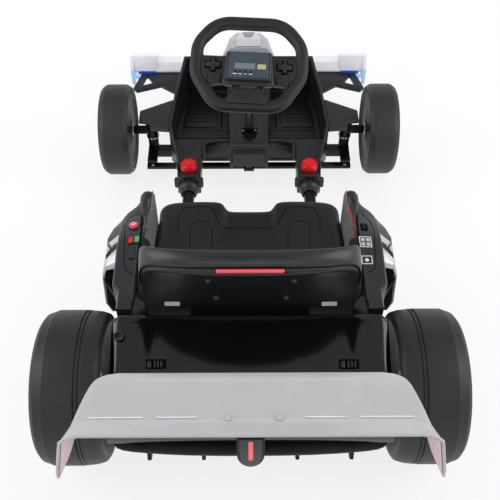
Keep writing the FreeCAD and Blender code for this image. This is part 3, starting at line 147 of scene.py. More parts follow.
def surface(name, code, rough, grain, depth, drift=0.12, metal=0.0, sockets=None):
    """A material with grain (mm), grain depth (mm) and a slow drift of tone and gloss."""
    MATERIALS[name] = bpy.data.materials.new(name)
    tree = empty_tree(MATERIALS[name])
    place = add(tree, "ShaderNodeTexCoord").outputs["Object"]
    cloud = add(tree, "ShaderNodeTexNoise", {"Scale": 1 / CLOUD, "Detail": 3.0, "Roughness": 0.6},
                {"Vector": place})
    tone = add(tree, "ShaderNodeValToRGB", None, {"Fac": cloud.outputs["Fac"]})
    for stop, position, factor in zip(tone.color_ramp.elements, (0.3, 0.7), (1 - drift, 1 + drift)):
        stop.position = position
        stop.color = colour(code, factor)
    gloss = add(tree, "ShaderNodeMapRange", {"To Min": max(0.02, rough * (1 - GLOSS_DRIFT)),
                                             "To Max": min(1.0, rough * (1 + GLOSS_DRIFT))},
                {"Value": cloud.outputs["Fac"]})
    grit = add(tree, "ShaderNodeTexNoise", {"Scale": 1 / (grain * MM), "Detail": 2.0}, {"Vector": place})
    bump = add(tree, "ShaderNodeBump", {"Strength": 0.5, "Distance": depth * MM},
               {"Height": grit.outputs["Fac"]})
    shader = add(tree, "ShaderNodeBsdfPrincipled", {"Metallic": metal, **(sockets or {})},
                 {"Base Color": tone.outputs["Color"], "Roughness": gloss.outputs["Result"],
                  "Normal": bump.outputs["Normal"]})
    add(tree, "ShaderNodeOutputMaterial", None, {"Surface": shader.outputs["BSDF"]})


def shine(level):
    """The socket that holds back the mirror light of a dull plastic."""
    return {"Specular IOR Level": level}


def lit(code, strength):
    """The sockets of a glow: a lens with diodes behind it, or painted light that the diodes spill."""
    return {"Emission Color": colour(code), "Emission Strength": strength}


# Each finish has its colour, roughness, grain, grain depth, and where they matter its drift, metal and
# other sockets.
FINISHES = {
    # Polypropylene: spark textured, and from a finer tool for the seat and the foot panels.
    "polypropylene_satin": ("#1B1C1E", 0.46, 1.5, 0.03),
    "polypropylene_fine": ("#151618", 0.38, 1.1, 0.015),
    # ABS from a polished mould: almost a mirror, with the faint waviness that moulders call orange peel.
    "abs_piano_black": ("#0B0C0E", 0.07, 9.0, 0.02, 0.05, 0, {"Coat Weight": 0.3}),
    # Hard polyethylene tyres: blow moulded, so duller than the body.
    "polyethylene_tyre": ("#18191B", 0.5, 1.8, 0.05),
    "polyethylene_front_tyre": ("#232427", 0.5, 1.8, 0.05),
    # Polypropylene coloured slate blue in the mass, for the front wheel discs.
    "polypropylene_slate": ("#232C34", 0.5, 1.4, 0.02, 0.12, 0, shine(0.2)),
    # Mild steel under black powder coat, whose bake leaves a fine pebble, and zinc plated steel.
    "powder_coated_steel": ("#0B0C0D", 0.34, 1.5, 0.04, 0.12, 0, shine(0.3)),
    "zinc_plated_steel": ("#B9BCC0", 0.24, 0.9, 0.01, 0.08, 1),
    # Soft PVC over the steering wheel: matt, with a leather like grain.
    "pvc_grip": ("#141517", 0.55, 1.7, 0.12),
    # Red polycarbonate, dyed in the mass and polished.
    "polycarbonate_red": ("#D2101B", 0.2, 6.0, 0.01, 0.08, 0, shine(0.3)),
    # Painted shade: near black with almost no mirror light, laid in grooves, seams, wells and vents where
    # shade falls, and also the radio's dark screen. And black polypropylene with a matt tooth for the
    # diffuser.
    "black_screen_and_painted_shade": ("#08090A", 0.8, 1.2, 0.01, 0.12, 0, shine(0.08)),
    "polypropylene_matt": ("#101113", 0.6, 1.4, 0.02, 0.12, 0, shine(0.25)),
    # ABS: grey for the display's housing, satin for the seat back's roll, satin painted for the consoles.
    "abs_dark_grey": ("#2A2C30", 0.35, 1.2, 0.02),
    "abs_satin_grey": ("#242527", 0.36, 1.2, 0.015),
    "abs_console": ("#27282B", 0.24, 2.0, 0.01),
    "brushed_aluminium": ("#A9ACB2", 0.3, 0.8, 0.015, 0.06, 1),
    # White polypropylene for the front wing, and paler grey for the nose, which carries the foils.
    "polypropylene_white": ("#E9EAF0", 0.34, 1.6, 0.02, 0.04),
    "polypropylene_pale": ("#AEAFB5", 0.36, 1.6, 0.02, 0.05),
    # The rear wing is clear polycarbonate, frosted in the mould: light comes out pale grey, and what lies
    # behind shows only as a shadow. The inner faces of its fins are made pink by a thin rose sheet laid on
    # them.
    "polycarbonate_frosted": ("#D0D0D1", 0.3, 2.2, 0.02, 0.03, 0, {"Transmission Weight": 0.32, "IOR": 1.5}),
    "polycarbonate_blush": ("#DDB9BD", 0.35, 2.2, 0.02, 0.04),
    # Lenses over red and deep blue diodes, and pale blue painted light that the blue diodes spill on the
    # wing.
    "acrylic_red_lit": ("#D04A52", 0.2, 3.0, 0.02, 0.06, 0, lit("#E0505A", 0.42)),
    "painted_blue_light_spill": ("#A9CDF4", 0.3, 3.0, 0.02, 0.1, 0, lit("#7FB6FF", 0.25)),
    "acrylic_navy": ("#123A86", 0.25, 3.0, 0.01, 0.2, 0, lit("#1E5BD0", 0.25)),
    # The display: acrylic tinted slate blue and polished in front, liquid crystal, and silicone keys in
    # cream.
    "acrylic_slate": ("#38444F", 0.18, 5.0, 0.01, 0.1, 0, {"Coat Weight": 0.4}),
    "liquid_crystal": ("#6E7579", 0.25, 2.5, 0.005, 0.04),
    "silicone_cream": ("#B3AA84", 0.5, 1.2, 0.01, 0.04),
    # Screen printed enamel for small marks, and silvered or grey polyester foil for side stripes.
    "enamel_white": ("#E6E7E9", 0.35, 1.2, 0.008, 0.03),
    "polyester_foil_silver": ("#C9CBD0", 0.28, 1.5, 0.012, 0.05, 0.35),
    "polyester_foil_grey": ("#77797E", 0.3, 1.5, 0.012, 0.06, 0.2),
    # Translucent polycarbonate for the rocker and the start button.
    "polycarbonate_green": ("#3FA35C", 0.22, 3.0, 0.01, 0.08),
    "polycarbonate_rose": ("#D2365A", 0.2, 3.0, 0.01, 0.08, 0, {"Coat Weight": 0.4}),
    # Charcoal polypropylene that lies open to the sky at the front, and padded vinyl in the side bolsters.
    "polypropylene_charcoal": ("#191B1F", 0.4, 1.5, 0.03),
    "vinyl_warm_grey": ("#6A6865", 0.5, 1.6, 0.08),
}
for name, facts in FINISHES.items():
    surface(name, *facts)
print("surfaces", sorted(MATERIALS))

# %% [markdown]
# A catalogue picture stands on a white sweep. The camera and mirror like surfaces see the floor as white,
# while the kart itself is lit by soft boxes and a grey room. The floor keeps a part of its real shading, so
# that the wheels still cast a shadow.

# %% Floor and room
WHITENESS = 0.8
REACH = 9.0


def link_in(name, data):
    """Puts a mesh, a lamp or a camera into the scene as a new object."""
    obj = bpy.data.objects.new(name, data)
    bpy.context.scene.collection.objects.link(obj)
    return obj


sweep = bpy.data.materials.new("matt_white_sweep")
tree = empty_tree(sweep)
ray = add(tree, "ShaderNodeLightPath").outputs
seen = add(tree, "ShaderNodeMath", {"operation": "MAXIMUM"},
           {0: ray["Is Camera Ray"], 1: ray["Is Glossy Ray"]})
seen = add(tree, "ShaderNodeMath", {"operation": "MAXIMUM"},
           {0: seen.outputs[0], 1: ray["Is Transmission Ray"]})
share = add(tree, "ShaderNodeMath", {"operation": "MULTIPLY", 1: WHITENESS}, {0: seen.outputs[0]})
paint = add(tree, "ShaderNodeBsdfDiffuse", {"Color": colour("#F4F4F4")})
glow = add(tree, "ShaderNodeEmission", {"Strength": 1.0})
mixed = add(tree, "ShaderNodeMixShader", None, {0: share.outputs[0], 1: paint.outputs[0], 2: glow.outputs[0]})
add(tree, "ShaderNodeOutputMaterial", None, {"Surface": mixed.outputs[0]})
floor_mesh = bpy.data.meshes.new("floor")
floor_mesh.from_pydata([(-REACH, -REACH, 0), (REACH, -REACH, 0), (REACH, REACH, 0), (-REACH, REACH, 0)], [],
                       [(0, 1, 2, 3)])
floor_mesh.materials.append(sweep)
link_in("floor", floor_mesh)

room = bpy.data.worlds.new("grey_room")
bpy.context.scene.world = room
tree = empty_tree(room)
ray = add(tree, "ShaderNodeLightPath").outputs
up = add(tree, "ShaderNodeTexCoord")
height = add(tree, "ShaderNodeSeparateXYZ", None, {"Vector": up.outputs["Generated"]})
walls = add(tree, "ShaderNodeValToRGB", None, {"Fac": height.outputs["Z"]})
for stop, position, grey in zip(walls.color_ramp.elements, (0.1, 0.55), (0.85, 0.45)):
    stop.position = position
    stop.color = (grey, grey, grey + 0.01, 1)
dim = add(tree, "ShaderNodeBackground", {"Strength": 1.0}, {"Color": walls.outputs["Color"]})
white = add(tree, "ShaderNodeBackground", {"Strength": 1.0, "Color": (1, 1, 1, 1)})
mixed = add(tree, "ShaderNodeMixShader", None, {0: ray["Is Camera Ray"], 1: dim.outputs[0],
                                                2: white.outputs[0]})
add(tree, "ShaderNodeOutputWorld", None, {"Surface": mixed.outputs[0]})
bpy.context.scene.view_settings.view_transform = "Standard"
print("floor and room ready")

# %% Soft boxes and the black card
SOFT_BOXES = (("left", (-2.2, -0.4, 1.9), 1.6, 2.4, 34), ("right", (2.2, -0.4, 1.9), 1.6, 2.4, 34),
              ("back", (0, 2.6, 2.2), 2.6, 1.0, 30), ("front", (0, -2.8, 2.4), 2.4, 1.2, 12))
for name, place, width, depth, watts in SOFT_BOXES:
    lamp = bpy.data.lights.new("soft_box_" + name, "AREA")
    lamp.shape = "RECTANGLE"
    lamp.size = width
    lamp.size_y = depth
    lamp.energy = watts
    box = link_in("soft_box_" + name, lamp)
    box.location = place
    box.rotation_euler = (Vector((0, 0, 0.2)) - Vector(place)).to_track_quat("-Z", "Y").to_euler()
    box.visible_glossy = name != "back"
# A black card hangs over the tail, as photographers do, so that the polished deck mirrors a dark curve.
CARD_HEIGHT = 1600
half_card = [(140, -345), (270, -300), (370, -215), (420, -120), (330, 260)]
card_corners = [(-x, y) for x, y in reversed(half_card)] + [(0, -358)] + half_card
card = bpy.data.meshes.new("black_card")
card.from_pydata([spot(x, y, CARD_HEIGHT) for x, y in card_corners], [], [range(len(card_corners))])
velvet = bpy.data.materials.new("black_velvet")
velvet.use_nodes = True
velvet.node_tree.nodes["Principled BSDF"].inputs["Base Color"].default_value = (0.003, 0.003, 0.003, 1)
velvet.node_tree.nodes["Principled BSDF"].inputs["Specular IOR Level"].default_value = 0
card.materials.append(velvet)
black_card = link_in("black_card", card)
for sort in ("camera", "diffuse", "shadow", "transmission"):
    setattr(black_card, "visible_" + sort, False)

# %% [markdown]
# The picture was taken from behind and above, through a normal lens: the kart's near wheels look larger
# than the far ones. The place, the 50 degree dip and the lens were worked out from wheels and wing of known
# size.

# %% Camera
FRAME_PIXELS = 500
FOCAL_PIXELS = 780
camera_data = bpy.data.cameras.new("camera")
camera_data.sensor_width = 36
camera_data.lens = FOCAL_PIXELS / FRAME_PIXELS * camera_data.sensor_width
camera = link_in("camera", camera_data)
camera.location = (-0.0043, -1.2021, 1.4934)
camera.rotation_euler = (math.radians(40), 0, math.radians(-0.273))
bpy.context.scene.camera = camera
print("lens", round(camera_data.lens, 2), "mm")

# %% [markdown]
# The CAD solids have knife edges, and no moulded part has. So where a solid's form is right, its mesh is
# copied, its flat faces are joined again, and every edge that turns by more than a few degrees is rounded
# by a millimetre or two. The rounded edge catches a thin line of light, and that line is what makes plastic
# look like plastic.

# %% Rounding the solids' edges
SHARP_TURN = math.radians(24)
FLAT_TURN = math.radians(0.6)
WELD = 0.002 * MM
SIDES = (("left", -1), ("right", 1))


def piece(name, mesh, material, node=None, body="chassis", angle=32):
    """A mesh with its finish, the CAD node that it stands for, if any, and the body that it moves with."""
    mesh.materials.clear()
    mesh.materials.append(MATERIALS[material])
    for face in mesh.polygons:
        face.use_smooth = True
    mesh.set_sharp_from_angle(angle=math.radians(angle))
    obj = link_in(name, mesh)
    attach(obj, body)
    if node:
        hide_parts(node)
    return obj


def dress(node, material, radius=1.5, steps=2):
    """Stands in for a CAD node with the same form, its edges rounded by a radius in millimetres."""
    solid = frame["nodes"][node]
    mesh = solid.data.copy()
    form = bmesh.new()
    form.from_mesh(mesh)
    bmesh.ops.remove_doubles(form, verts=form.verts, dist=WELD)
    bmesh.ops.dissolve_limit(form, angle_limit=FLAT_TURN, verts=form.verts, edges=form.edges)
    sharp = [e for e in form.edges if e.is_manifold and e.calc_face_angle(0) > SHARP_TURN]
    bmesh.ops.bevel(form, geom=sharp, offset=radius * MM, segments=steps, profile=0.6, affect="EDGES",
                    clamp_overlap=False, loop_slide=True)
    form.to_mesh(mesh)
    form.free()
    body = next(name for name, body in frame["bodies"].items() if solid.parent == body)
    return piece(node + "_dressed", mesh, material, node, body)


# %% [markdown]
# Five ways of making a form cover nearly the whole kart. Turning suits wheels and knobs. A plate cut from
# an outline suits panels, buttons and spokes. A skin stretched over rows of points suits the wing, the deck
# and the seat. A rod along a line suits bars and trim. And several meshes may be joined to one piece. All
# of them take millimetres.

# %% Rounded outlines
def rounded(corners, radius=5.0, steps=5):
    """A closed outline with its corners rounded. A corner is (x, y), or (x, y, radius of its own)."""
    points = []
    count = len(corners)
    for index, corner in enumerate(corners):
        here = Vector(corner[:2])
        before, after = Vector(corners[index - 1][:2]) - here, Vector(corners[(index + 1) % count][:2]) - here
        own = corner[2] if len(corner) > 2 else radius
        half = before.angle(after) / 2
        back = min(own / math.tan(half), before.length * 0.48, after.length * 0.48) if own else 0
        if back < 0.01 or half > 1.55:
            points.append(tuple(here))
            continue
        start, end = here + before.normalized() * back, here + after.normalized() * back
        for step in range(steps + 1):
            t = step / steps
            points.append(tuple(start * (1 - t) ** 2 + here * (2 * t * (1 - t)) + end * t * t))
    return points


def oval(radius, steps, across=0.0, high=0.0):
    """Points round a circle about a middle."""
    turns = [2 * math.pi * step / steps for step in range(steps)]
    return [(across + radius * math.cos(t), high + radius * math.sin(t)) for t in turns]


def oblong(left, right, low, high, radius=3.0):
    """A rectangle with rounded corners."""
    return rounded([(left, low), (right, low), (right, high), (left, high)], radius)


print("a rounded square has", len(oblong(0, 10, 0, 10)), "points")


# %% Plates, skins, turned forms and rods
SOFT_CORNER = 3.0
TOUCHING = 0.001 * MM


def finished(form):
    """Closes a bmesh into a mesh with its normals outward."""
    bmesh.ops.recalc_face_normals(form, faces=form.faces)
    mesh = bpy.data.meshes.new("form")
    form.to_mesh(mesh)
    form.free()
    return mesh


def inset(points, distance):
    """An outline with every side moved inward by a distance, or outward if it is negative."""
    count = len(points)
    area = sum(points[i - 1][0] * points[i][1] - points[i][0] * points[i - 1][1] for i in range(count))
    turn = math.copysign(1, area)
    moved = []
    for index in range(count):
        here = Vector(points[index])
        one = (here - Vector(points[index - 1])).normalized()
        two = (Vector(points[(index + 1) % count]) - here).normalized()
        inward = Vector((-one.y - two.y, one.x + two.x)).normalized() * turn
        share = max(0.4, inward.dot(Vector((-one.y, one.x)) * turn))
        moved.append(tuple(here + inward * (distance / share)))
    return moved


def plate(outlines, low, high, edge=0.8, steps=2):
    """A plate in XY with holes, from a low to a high level, its rims rounded by an edge radius."""
    edge = min(edge, (high - low) * 0.49)
    turns = [math.pi / 2 * k / steps for k in range(steps + 1)]
    shape = [(edge * (1 - math.sin(t)), low + edge * (1 - math.cos(t))) for t in turns]
    shape += [(edge * (1 - math.cos(t)), high - edge * (1 - math.sin(t))) for t in turns]
    form = bmesh.new()
    ends = ([], [])
    for index, points in enumerate(outlines):
        rings = []
        for back, level in shape:
            line = inset(points, back if index == 0 else -back)
            rings.append([form.verts.new((x * MM, y * MM, level * MM)) for x, y in line])
        for a, b in zip(rings, rings[1:]):
            for i in range(len(a)):
                form.faces.new((a[i - 1], a[i], b[i], b[i - 1]))
        ends[0].append(rings[0])
        ends[1].append(rings[-1])
    for rings in ends:
        corners = [corner for edge_line in rings for corner in edge_line]
        for three in tessellate_polygon([[corner.co for corner in edge_line] for edge_line in rings]):
            form.faces.new([corners[i] for i in three])
    return finished(form)


def tile(left, right, near, far, radius, low, high, edge=0.8, steps=2):
    """A rectangular plate with rounded corners."""
    return plate([oblong(left, right, near, far, radius)], low, high, edge, steps)


def skin(rows, thick=0.0, loop=False, ends=False):
    """A sheet over rows of points in metres. It may be thickened, joined round, or closed at its ends."""
    form = bmesh.new()
    grid = [[form.verts.new(point) for point in row] for row in rows]
    width = len(grid[0])
    for a, b in zip(grid, grid[1:]):
        for i in range(width if loop else width - 1):
            form.faces.new((a[i], a[(i + 1) % width], b[(i + 1) % width], b[i]))
    if ends:
        form.faces.new(grid[0])
        form.faces.new(list(reversed(grid[-1])))
    bmesh.ops.recalc_face_normals(form, faces=form.faces)
    if thick:
        bmesh.ops.solidify(form, geom=form.faces[:], thickness=thick * MM)
    return finished(form)


def ring(rows):
    """A skin joined round both ways, whose last row lies on its first."""
    mesh = skin(rows, loop=True)
    form = bmesh.new()
    form.from_mesh(mesh)
    bmesh.ops.remove_doubles(form, verts=form.verts, dist=TOUCHING)
    bpy.data.meshes.remove(mesh)
    return finished(form)


def turned(profile, steps=96, smooth=0):
    """A ring turned about X from a closed profile of (x, radius), its corners rounded in a few steps."""
    if smooth:
        profile = rounded(profile, SOFT_CORNER, smooth)
    angles = [2 * math.pi * step / steps for step in range(steps + 1)]
    return ring([[(x * MM, r * MM * math.cos(a), r * MM * math.sin(a)) for x, r in profile] for a in angles])


def rod(points, radius, closed=False, sides=4):
    """A round rod along points in metres."""
    curve = bpy.data.curves.new("rod", "CURVE")
    curve.dimensions = "3D"
    line = curve.splines.new("POLY")
    line.points.add(len(points) - 1)
    for target, point in zip(line.points, points):
        target.co = (*point, 1)
    line.use_cyclic_u = closed
    curve.bevel_depth = radius * MM
    curve.bevel_resolution = sides
    curve.use_fill_caps = not closed
    holder = bpy.data.objects.new("rod", curve)
    mesh = bpy.data.meshes.new_from_object(holder)
    bpy.data.objects.remove(holder)
    return mesh


def joined(*meshes):
    """Several meshes as one."""
    form = bmesh.new()
    for mesh in meshes:
        form.from_mesh(mesh)
        bpy.data.meshes.remove(mesh)
    mesh = bpy.data.meshes.new("form")
    form.to_mesh(mesh)
    form.free()
    return mesh


print("a circle of 12 steps starts at", oval(10, 12)[0])

# %% Putting a form in its place
UPRIGHT = Matrix.Rotation(math.radians(-90), 4, "Y")
FLIP = Matrix.Scale(-1, 4, (1, 0, 0))


def facing(origin, right, up):
    """A placing whose own X runs right and Y runs up, and whose Z comes out of them."""
    right = Vector(right).normalized()
    up = (Vector(up) - right * Vector(up).dot(right)).normalized()
    out = right.cross(up)
    rows = [(right[i], up[i], out[i], origin[i]) for i in range(3)]
    return Matrix((*rows, (0, 0, 0, 1)))


def facing_back(x, y, z):
    """A placing on the kart whose Z looks backward, with X to the right and Y upward."""
    return facing(spot(x, y, z), (1, 0, 0), (0, 0, 1))


def facing_right(x):
    """A placing at a distance from the kart's middle whose Z looks right, with X forward and Y up."""
    return facing(spot(x, 0, 0), (0, 1, 0), (0, 0, 1))


def at(x, y, z):
    """A placing that only moves to a place on the kart."""
    return Matrix.Translation(spot(x, y, z))


def shift(x, y, z):
    """A placing that only moves by some millimetres."""
    return Matrix.Translation((x * MM, y * MM, z * MM))


def placed(mesh, *placings):
    """The mesh moved by one placing after another."""
    for placing in placings:
        mesh.transform(placing)
    return mesh


def standing(profile, steps, smooth=0):
    """A form turned about Z from a closed profile of (height, radius)."""
    return placed(turned(profile, steps, smooth), UPRIGHT)


def sided(mesh, sign):
    """The mesh as made for the right side, or its mirror image for the left."""
    if sign < 0:
        mesh.transform(FLIP)
        mesh.flip_normals()
    return mesh


def both(*meshes):
    """The meshes as one, with their mirror image across the kart's middle."""
    mesh = joined(*meshes)
    return joined(mesh, sided(mesh.copy(), -1))


print("sides", SIDES)

# %% [markdown]
# Small things such as buttons, latches and mould lines are easiest to place where the picture shows them. A
# line is shot from the camera through a point of the picture until it meets the part that carries the
# thing. The thing then sits on that surface, and it looks right from every other side as well. Names that
# end in SEEN hold such points.

# %% From a point in the picture to a place on a part
EYE = Vector(camera.location)
TURN = camera.rotation_euler.to_matrix()
LINE_STEP = 4
LINE_SINK = 0.3
TO_THE_KART = 1.6


def surfaces(obj):
    """The shown surface of an object, as a tree that lines can be shot at."""
    bpy.context.view_layer.update()
    mesh = bpy.data.meshes.new_from_object(obj.evaluated_get(bpy.context.evaluated_depsgraph_get()))
    mesh.transform(obj.matrix_world)
    form = bmesh.new()
    form.from_mesh(mesh)
    tree = BVHTree.FromBMesh(form)
    form.free()
    bpy.data.meshes.remove(mesh)
    return tree


def sight(tree, u, v):
    """The place that a picture point shows on this surface, and the way that the surface looks there."""
    half = FRAME_PIXELS / 2
    line = TURN @ Vector(((u - half) / FOCAL_PIXELS, (half - v) / FOCAL_PIXELS, -1))
    place, out, _, _ = tree.ray_cast(EYE, line.normalized())
    if place is None:
        place, out, _, _ = tree.find_nearest(EYE + line.normalized() * TO_THE_KART)
    return place, out if out.dot(line) < 0 else -out


def evened(path, spacing, closed=True, whole=round):
    """A line with its points spread evenly."""
    track = []
    ends = [*path[1:], path[0]] if closed else path[1:]
    for a, b in zip(path, ends):
        a, b = Vector(a), Vector(b)
        steps = max(1, whole((b - a).length / spacing))
        track += [a.lerp(b, k / steps) for k in range(steps)]
    return track if closed else [*track, Vector(path[-1])]


def line_on(tree, pixels, radius, closed=True):
    """A thin rod that follows picture points over a surface: a mould line, a groove's shadow or a bead."""
    seen = [sight(tree, *dot) for dot in evened(pixels, LINE_STEP, closed, int)]
    return rod([place - out * radius * LINE_SINK * MM for place, out in seen], radius, closed, 2)


def patch_on(tree, pixels, thick=0.6, lift=0.1):
    """A thin patch on a surface inside picture points: a foil, a lens or an inlay."""
    spots = [sight(tree, *dot) for dot in pixels]
    out = sum((o for _, o in spots), Vector()).normalized()
    form = bmesh.new()
    top = form.faces.new([form.verts.new(place + out * (lift + thick) * MM) for place, _ in spots])
    made = bmesh.ops.extrude_face_region(form, geom=[top])
    lower = [g for g in made["geom"] if isinstance(g, bmesh.types.BMVert)]
    bmesh.ops.translate(form, verts=lower, vec=-out * thick * MM)
    rims = [e for e in form.edges if e.is_manifold and e.calc_face_angle(0) > 1]
    bmesh.ops.bevel(form, geom=rims, offset=min(0.25, thick * 0.3) * MM, segments=1, affect="EDGES",
                    clamp_overlap=True)
    return finished(form)


def stud_on(tree, pixel, mesh):
    """A small part made round Z, stood on the surface at a picture point, its own X to the right."""
    place, out = sight(tree, *pixel)
    right = Vector((1, 0, 0)) - out * out.x
    return placed(mesh, facing(place, right, out.cross(right)))


def studs_on(tree, pixels, mesh):
    """Copies of a small part, stood on the surface at several picture points."""
    return joined(*[stud_on(tree, pixel, mesh.copy()) for pixel in pixels])


print("the picture's middle looks along", [round(c, 2) for c in TURN @ Vector((0, 0, -1))])

# %% [markdown]
# The rear wheels are blow moulded in hard polyethylene, so that they slide. Each has a smooth flat tread,
# two thin mould lines near its inner edge, a step to a softer outer ring, and a deep dish on the inside. A
# turned profile gives all of that at once, and the mould lines are simply part of the profile.

# %% Rear tyres
wheel_box = edges_of("tyre_rear_right")
INNER, OUTER, REAR_RADIUS = wheel_box[0], wheel_box[1], wheel_box[5] / 2
rear_profile = [(INNER + 28, 98.2, 1), (INNER + 3, 124, 2), (INNER, 128, 2), (INNER, 136, 5),
                (INNER + 5, 143, 6), (INNER + 20, 147.2, 10), (INNER + 34, 148.8, 1),
                (INNER + 35, 146.8, 0.5), (INNER + 36.6, 146.8, 0.5), (INNER + 37.6, 149.2, 0.6),
                (INNER + 41, 149.4, 0.6), (INNER + 42, 147, 0.5), (INNER + 43.6, 147, 0.5),
                (INNER + 45, REAR_RADIUS, 1.5), (OUTER - 26, REAR_RADIUS, 3), (OUTER - 21, 147.6, 2),
                (OUTER - 8, 143.6, 7), (OUTER, 134, 7), (OUTER, 112, 4), (OUTER - 4, 98.2, 2)]
REAR_HUB = at(0, 0, REAR_RADIUS)
for side, sign in SIDES:
    tyre = placed(sided(turned(rear_profile, 120, 4), sign), REAR_HUB)
    piece(f"tyre_rear_{side}_skin", tyre, "polyethylene_tyre", f"tyre_rear_{side}", body=f"wheel_rear_{side}",
          angle=40)
print("rear tyre profile has", len(rear_profile), "corners")

# %% [markdown]
# Inside the tyre sits a spoked disc near the outer face, with a nut over the axle's end. On the inner side
# a cone runs in to a short hub tube, and that cone is the dark hollow that one sees from behind.

# %% Rear rims
def windows(count, root, tip, bar, corner):
    """Rounded windows between straight spokes of a given width."""
    outlines = []
    for index in range(count):
        corners = []
        for step, turn in ((index, 1), (index + 1, -1)):
            angle = 2 * math.pi * step / count
            for radius in (root, tip):
                corners.append((radius * math.cos(angle) - turn * bar * math.sin(angle),
                                radius * math.sin(angle) + turn * bar * math.cos(angle)))
        middle = 2 * math.pi * (index + 0.5) / count
        crown = (tip * 1.06 * math.cos(middle), tip * 1.06 * math.sin(middle))
        outlines.append(rounded([corners[0], corners[1], crown, corners[3], corners[2]], corner))
    return outlines


SIDEWAYS = facing((0, 0, 0), (0, 1, 0), (0, 0, 1))


def hexagon(radius):
    """The outline of a nut."""
    return [(radius * math.cos(math.pi / 3 * k), radius * math.sin(math.pi / 3 * k)) for k in range(6)]


def hub_nut(level, across):
    """A zinc plated nut and washer, standing out along X from a level."""
    washer = turned([(level, 4), (level + 1.6, 4), (level + 1.6, across * 0.9), (level, across * 0.9)], 40)
    nut = placed(plate([hexagon(across * 0.56)], level + 1.6, level + 7, 0.6), SIDEWAYS)
    return joined(washer, nut)


for side, sign in SIDES:
    spokes = placed(plate([oval(93, 96), *windows(5, 30, 80, 9, 8)], OUTER - 20, OUTER - 8, 2.0), SIDEWAYS)
    barrel = turned([(INNER + 29, 97.6), (OUTER - 5, 97.6), (OUTER - 5, 90), (INNER + 34, 90)], smooth=2)
    cone = turned([(INNER + 26, 96.5, 1), (INNER + 62, 62, 6), (INNER + 62, 31, 3), (INNER + 22, 30, 2),
                   (INNER + 22, 14, 1), (INNER + 66, 14, 1), (INNER + 66, 64, 6), (INNER + 32, 97, 1)],
                  smooth=3)
    cap = turned([(OUTER - 20, 9), (OUTER - 4, 9), (OUTER - 6, 20, 4), (OUTER - 12, 27, 3), (OUTER - 20, 27)],
                 60, 3)
    rim = placed(sided(joined(spokes, barrel, cone, cap), sign), REAR_HUB)
    piece(f"rim_rear_{side}_skin", rim, "polypropylene_charcoal", f"rim_rear_{side}",
          body=f"wheel_rear_{side}")
    nut = placed(sided(hub_nut(OUTER - 10, 13), sign), REAR_HUB)
    piece(f"axle_nut_{side}", nut, "zinc_plated_steel", body=f"wheel_rear_{side}")
print("rear rims done")

# %% [markdown]
# The front wheels are smaller and rounder, and seen from behind they show a slate blue disc that nearly
# fills the wheel, with a bright washer where the spindle comes through.

# %% Front wheels
front_box = edges_of("tyre_front_right")
IN, OUT, FRONT_RADIUS = front_box[0], front_box[1], front_box[5] / 2
FRONT_AXLE = (front_box[2] + front_box[3]) / 2
front_profile = [
    (IN + 6, 70, 1), (IN + 6, 99, 1), (IN, 101, 1.5), (IN + 0.5, 109, 4), (IN + 12, FRONT_RADIUS, 14),
    (OUT - 13, FRONT_RADIUS, 14), (OUT - 1, 108, 8), (OUT, 92, 6), (OUT - 3, 70, 2),
]
FRONT_HUB = at(0, FRONT_AXLE, FRONT_RADIUS)
for side, sign in SIDES:
    body = f"wheel_front_{side}"
    tyre = placed(sided(turned(front_profile, 96, 6), sign), FRONT_HUB)
    piece(f"tyre_front_{side}_skin", tyre, "polyethylene_front_tyre", f"tyre_front_{side}", body=body,
          angle=40)
    disc = turned([(IN + 5, 98.6, 1), (IN + 2.5, 97, 1), (IN + 2, 88, 2), (IN + 5, 84, 2), (IN + 6.5, 60, 5),
                   (IN + 3, 34, 5), (IN + 0.5, 27, 2), (IN + 0.5, 12, 1), (IN + 10, 12, 1), (IN + 10, 97, 1)],
                  smooth=3)
    barrel = turned([(IN + 9, 69.6), (OUT - 4, 69.6), (OUT - 4, 63), (IN + 9, 63)], 72, 2)
    spokes = placed(plate([oval(66, 72), *windows(5, 20, 57, 6, 5)], OUT - 18, OUT - 9, 1.6), SIDEWAYS)
    cap = turned([(OUT - 18, 6), (OUT - 5, 6), (OUT - 7, 14, 3), (OUT - 11, 18, 2), (OUT - 18, 18)], 48, 3)
    rim = placed(sided(joined(disc, barrel, spokes, cap), sign), FRONT_HUB)
    piece(f"rim_front_{side}_skin", rim, "polypropylene_slate", f"rim_front_{side}", body=body)
    washer = turned([(IN - 1.2, 7), (IN - 1.2, 12.5), (IN + 0.6, 13), (IN + 0.6, 7)], 40)
    piece(f"spindle_washer_{side}", placed(sided(washer, sign), FRONT_HUB), "zinc_plated_steel", body=body)
    nut = placed(sided(hub_nut(OUT - 10, 9), sign), FRONT_HUB)
    piece(f"spindle_nut_{side}", nut, "zinc_plated_steel", body=body)
print("front axle", round(FRONT_AXLE), "mm ahead of the rear axle")

# %% [markdown]
# The rear wing is one sheet of frosted polycarbonate, pressed so that its rear edge kicks up and its ends
# bend down into two fins that splay outward and back. One skin covers it all: each row of points runs
# across the kart, over the flat top, round the bend and down the fin, and the rows follow each other from
# the front edge to the rear.

# %% Rear wing
wing_box = edges_of("rear_wing")
WING_TAIL, WING_FRONT, WING_LOW, WING_HIGH = wing_box[2:]
WING_DEPTH = 127


def drawn_back(x, t):
    """How far back the rounded front corner draws a point of the sheet."""
    return 14 * min(1.0, max(0.0, (abs(x) - 215) / 40)) ** 2 * (1 - t) ** 3


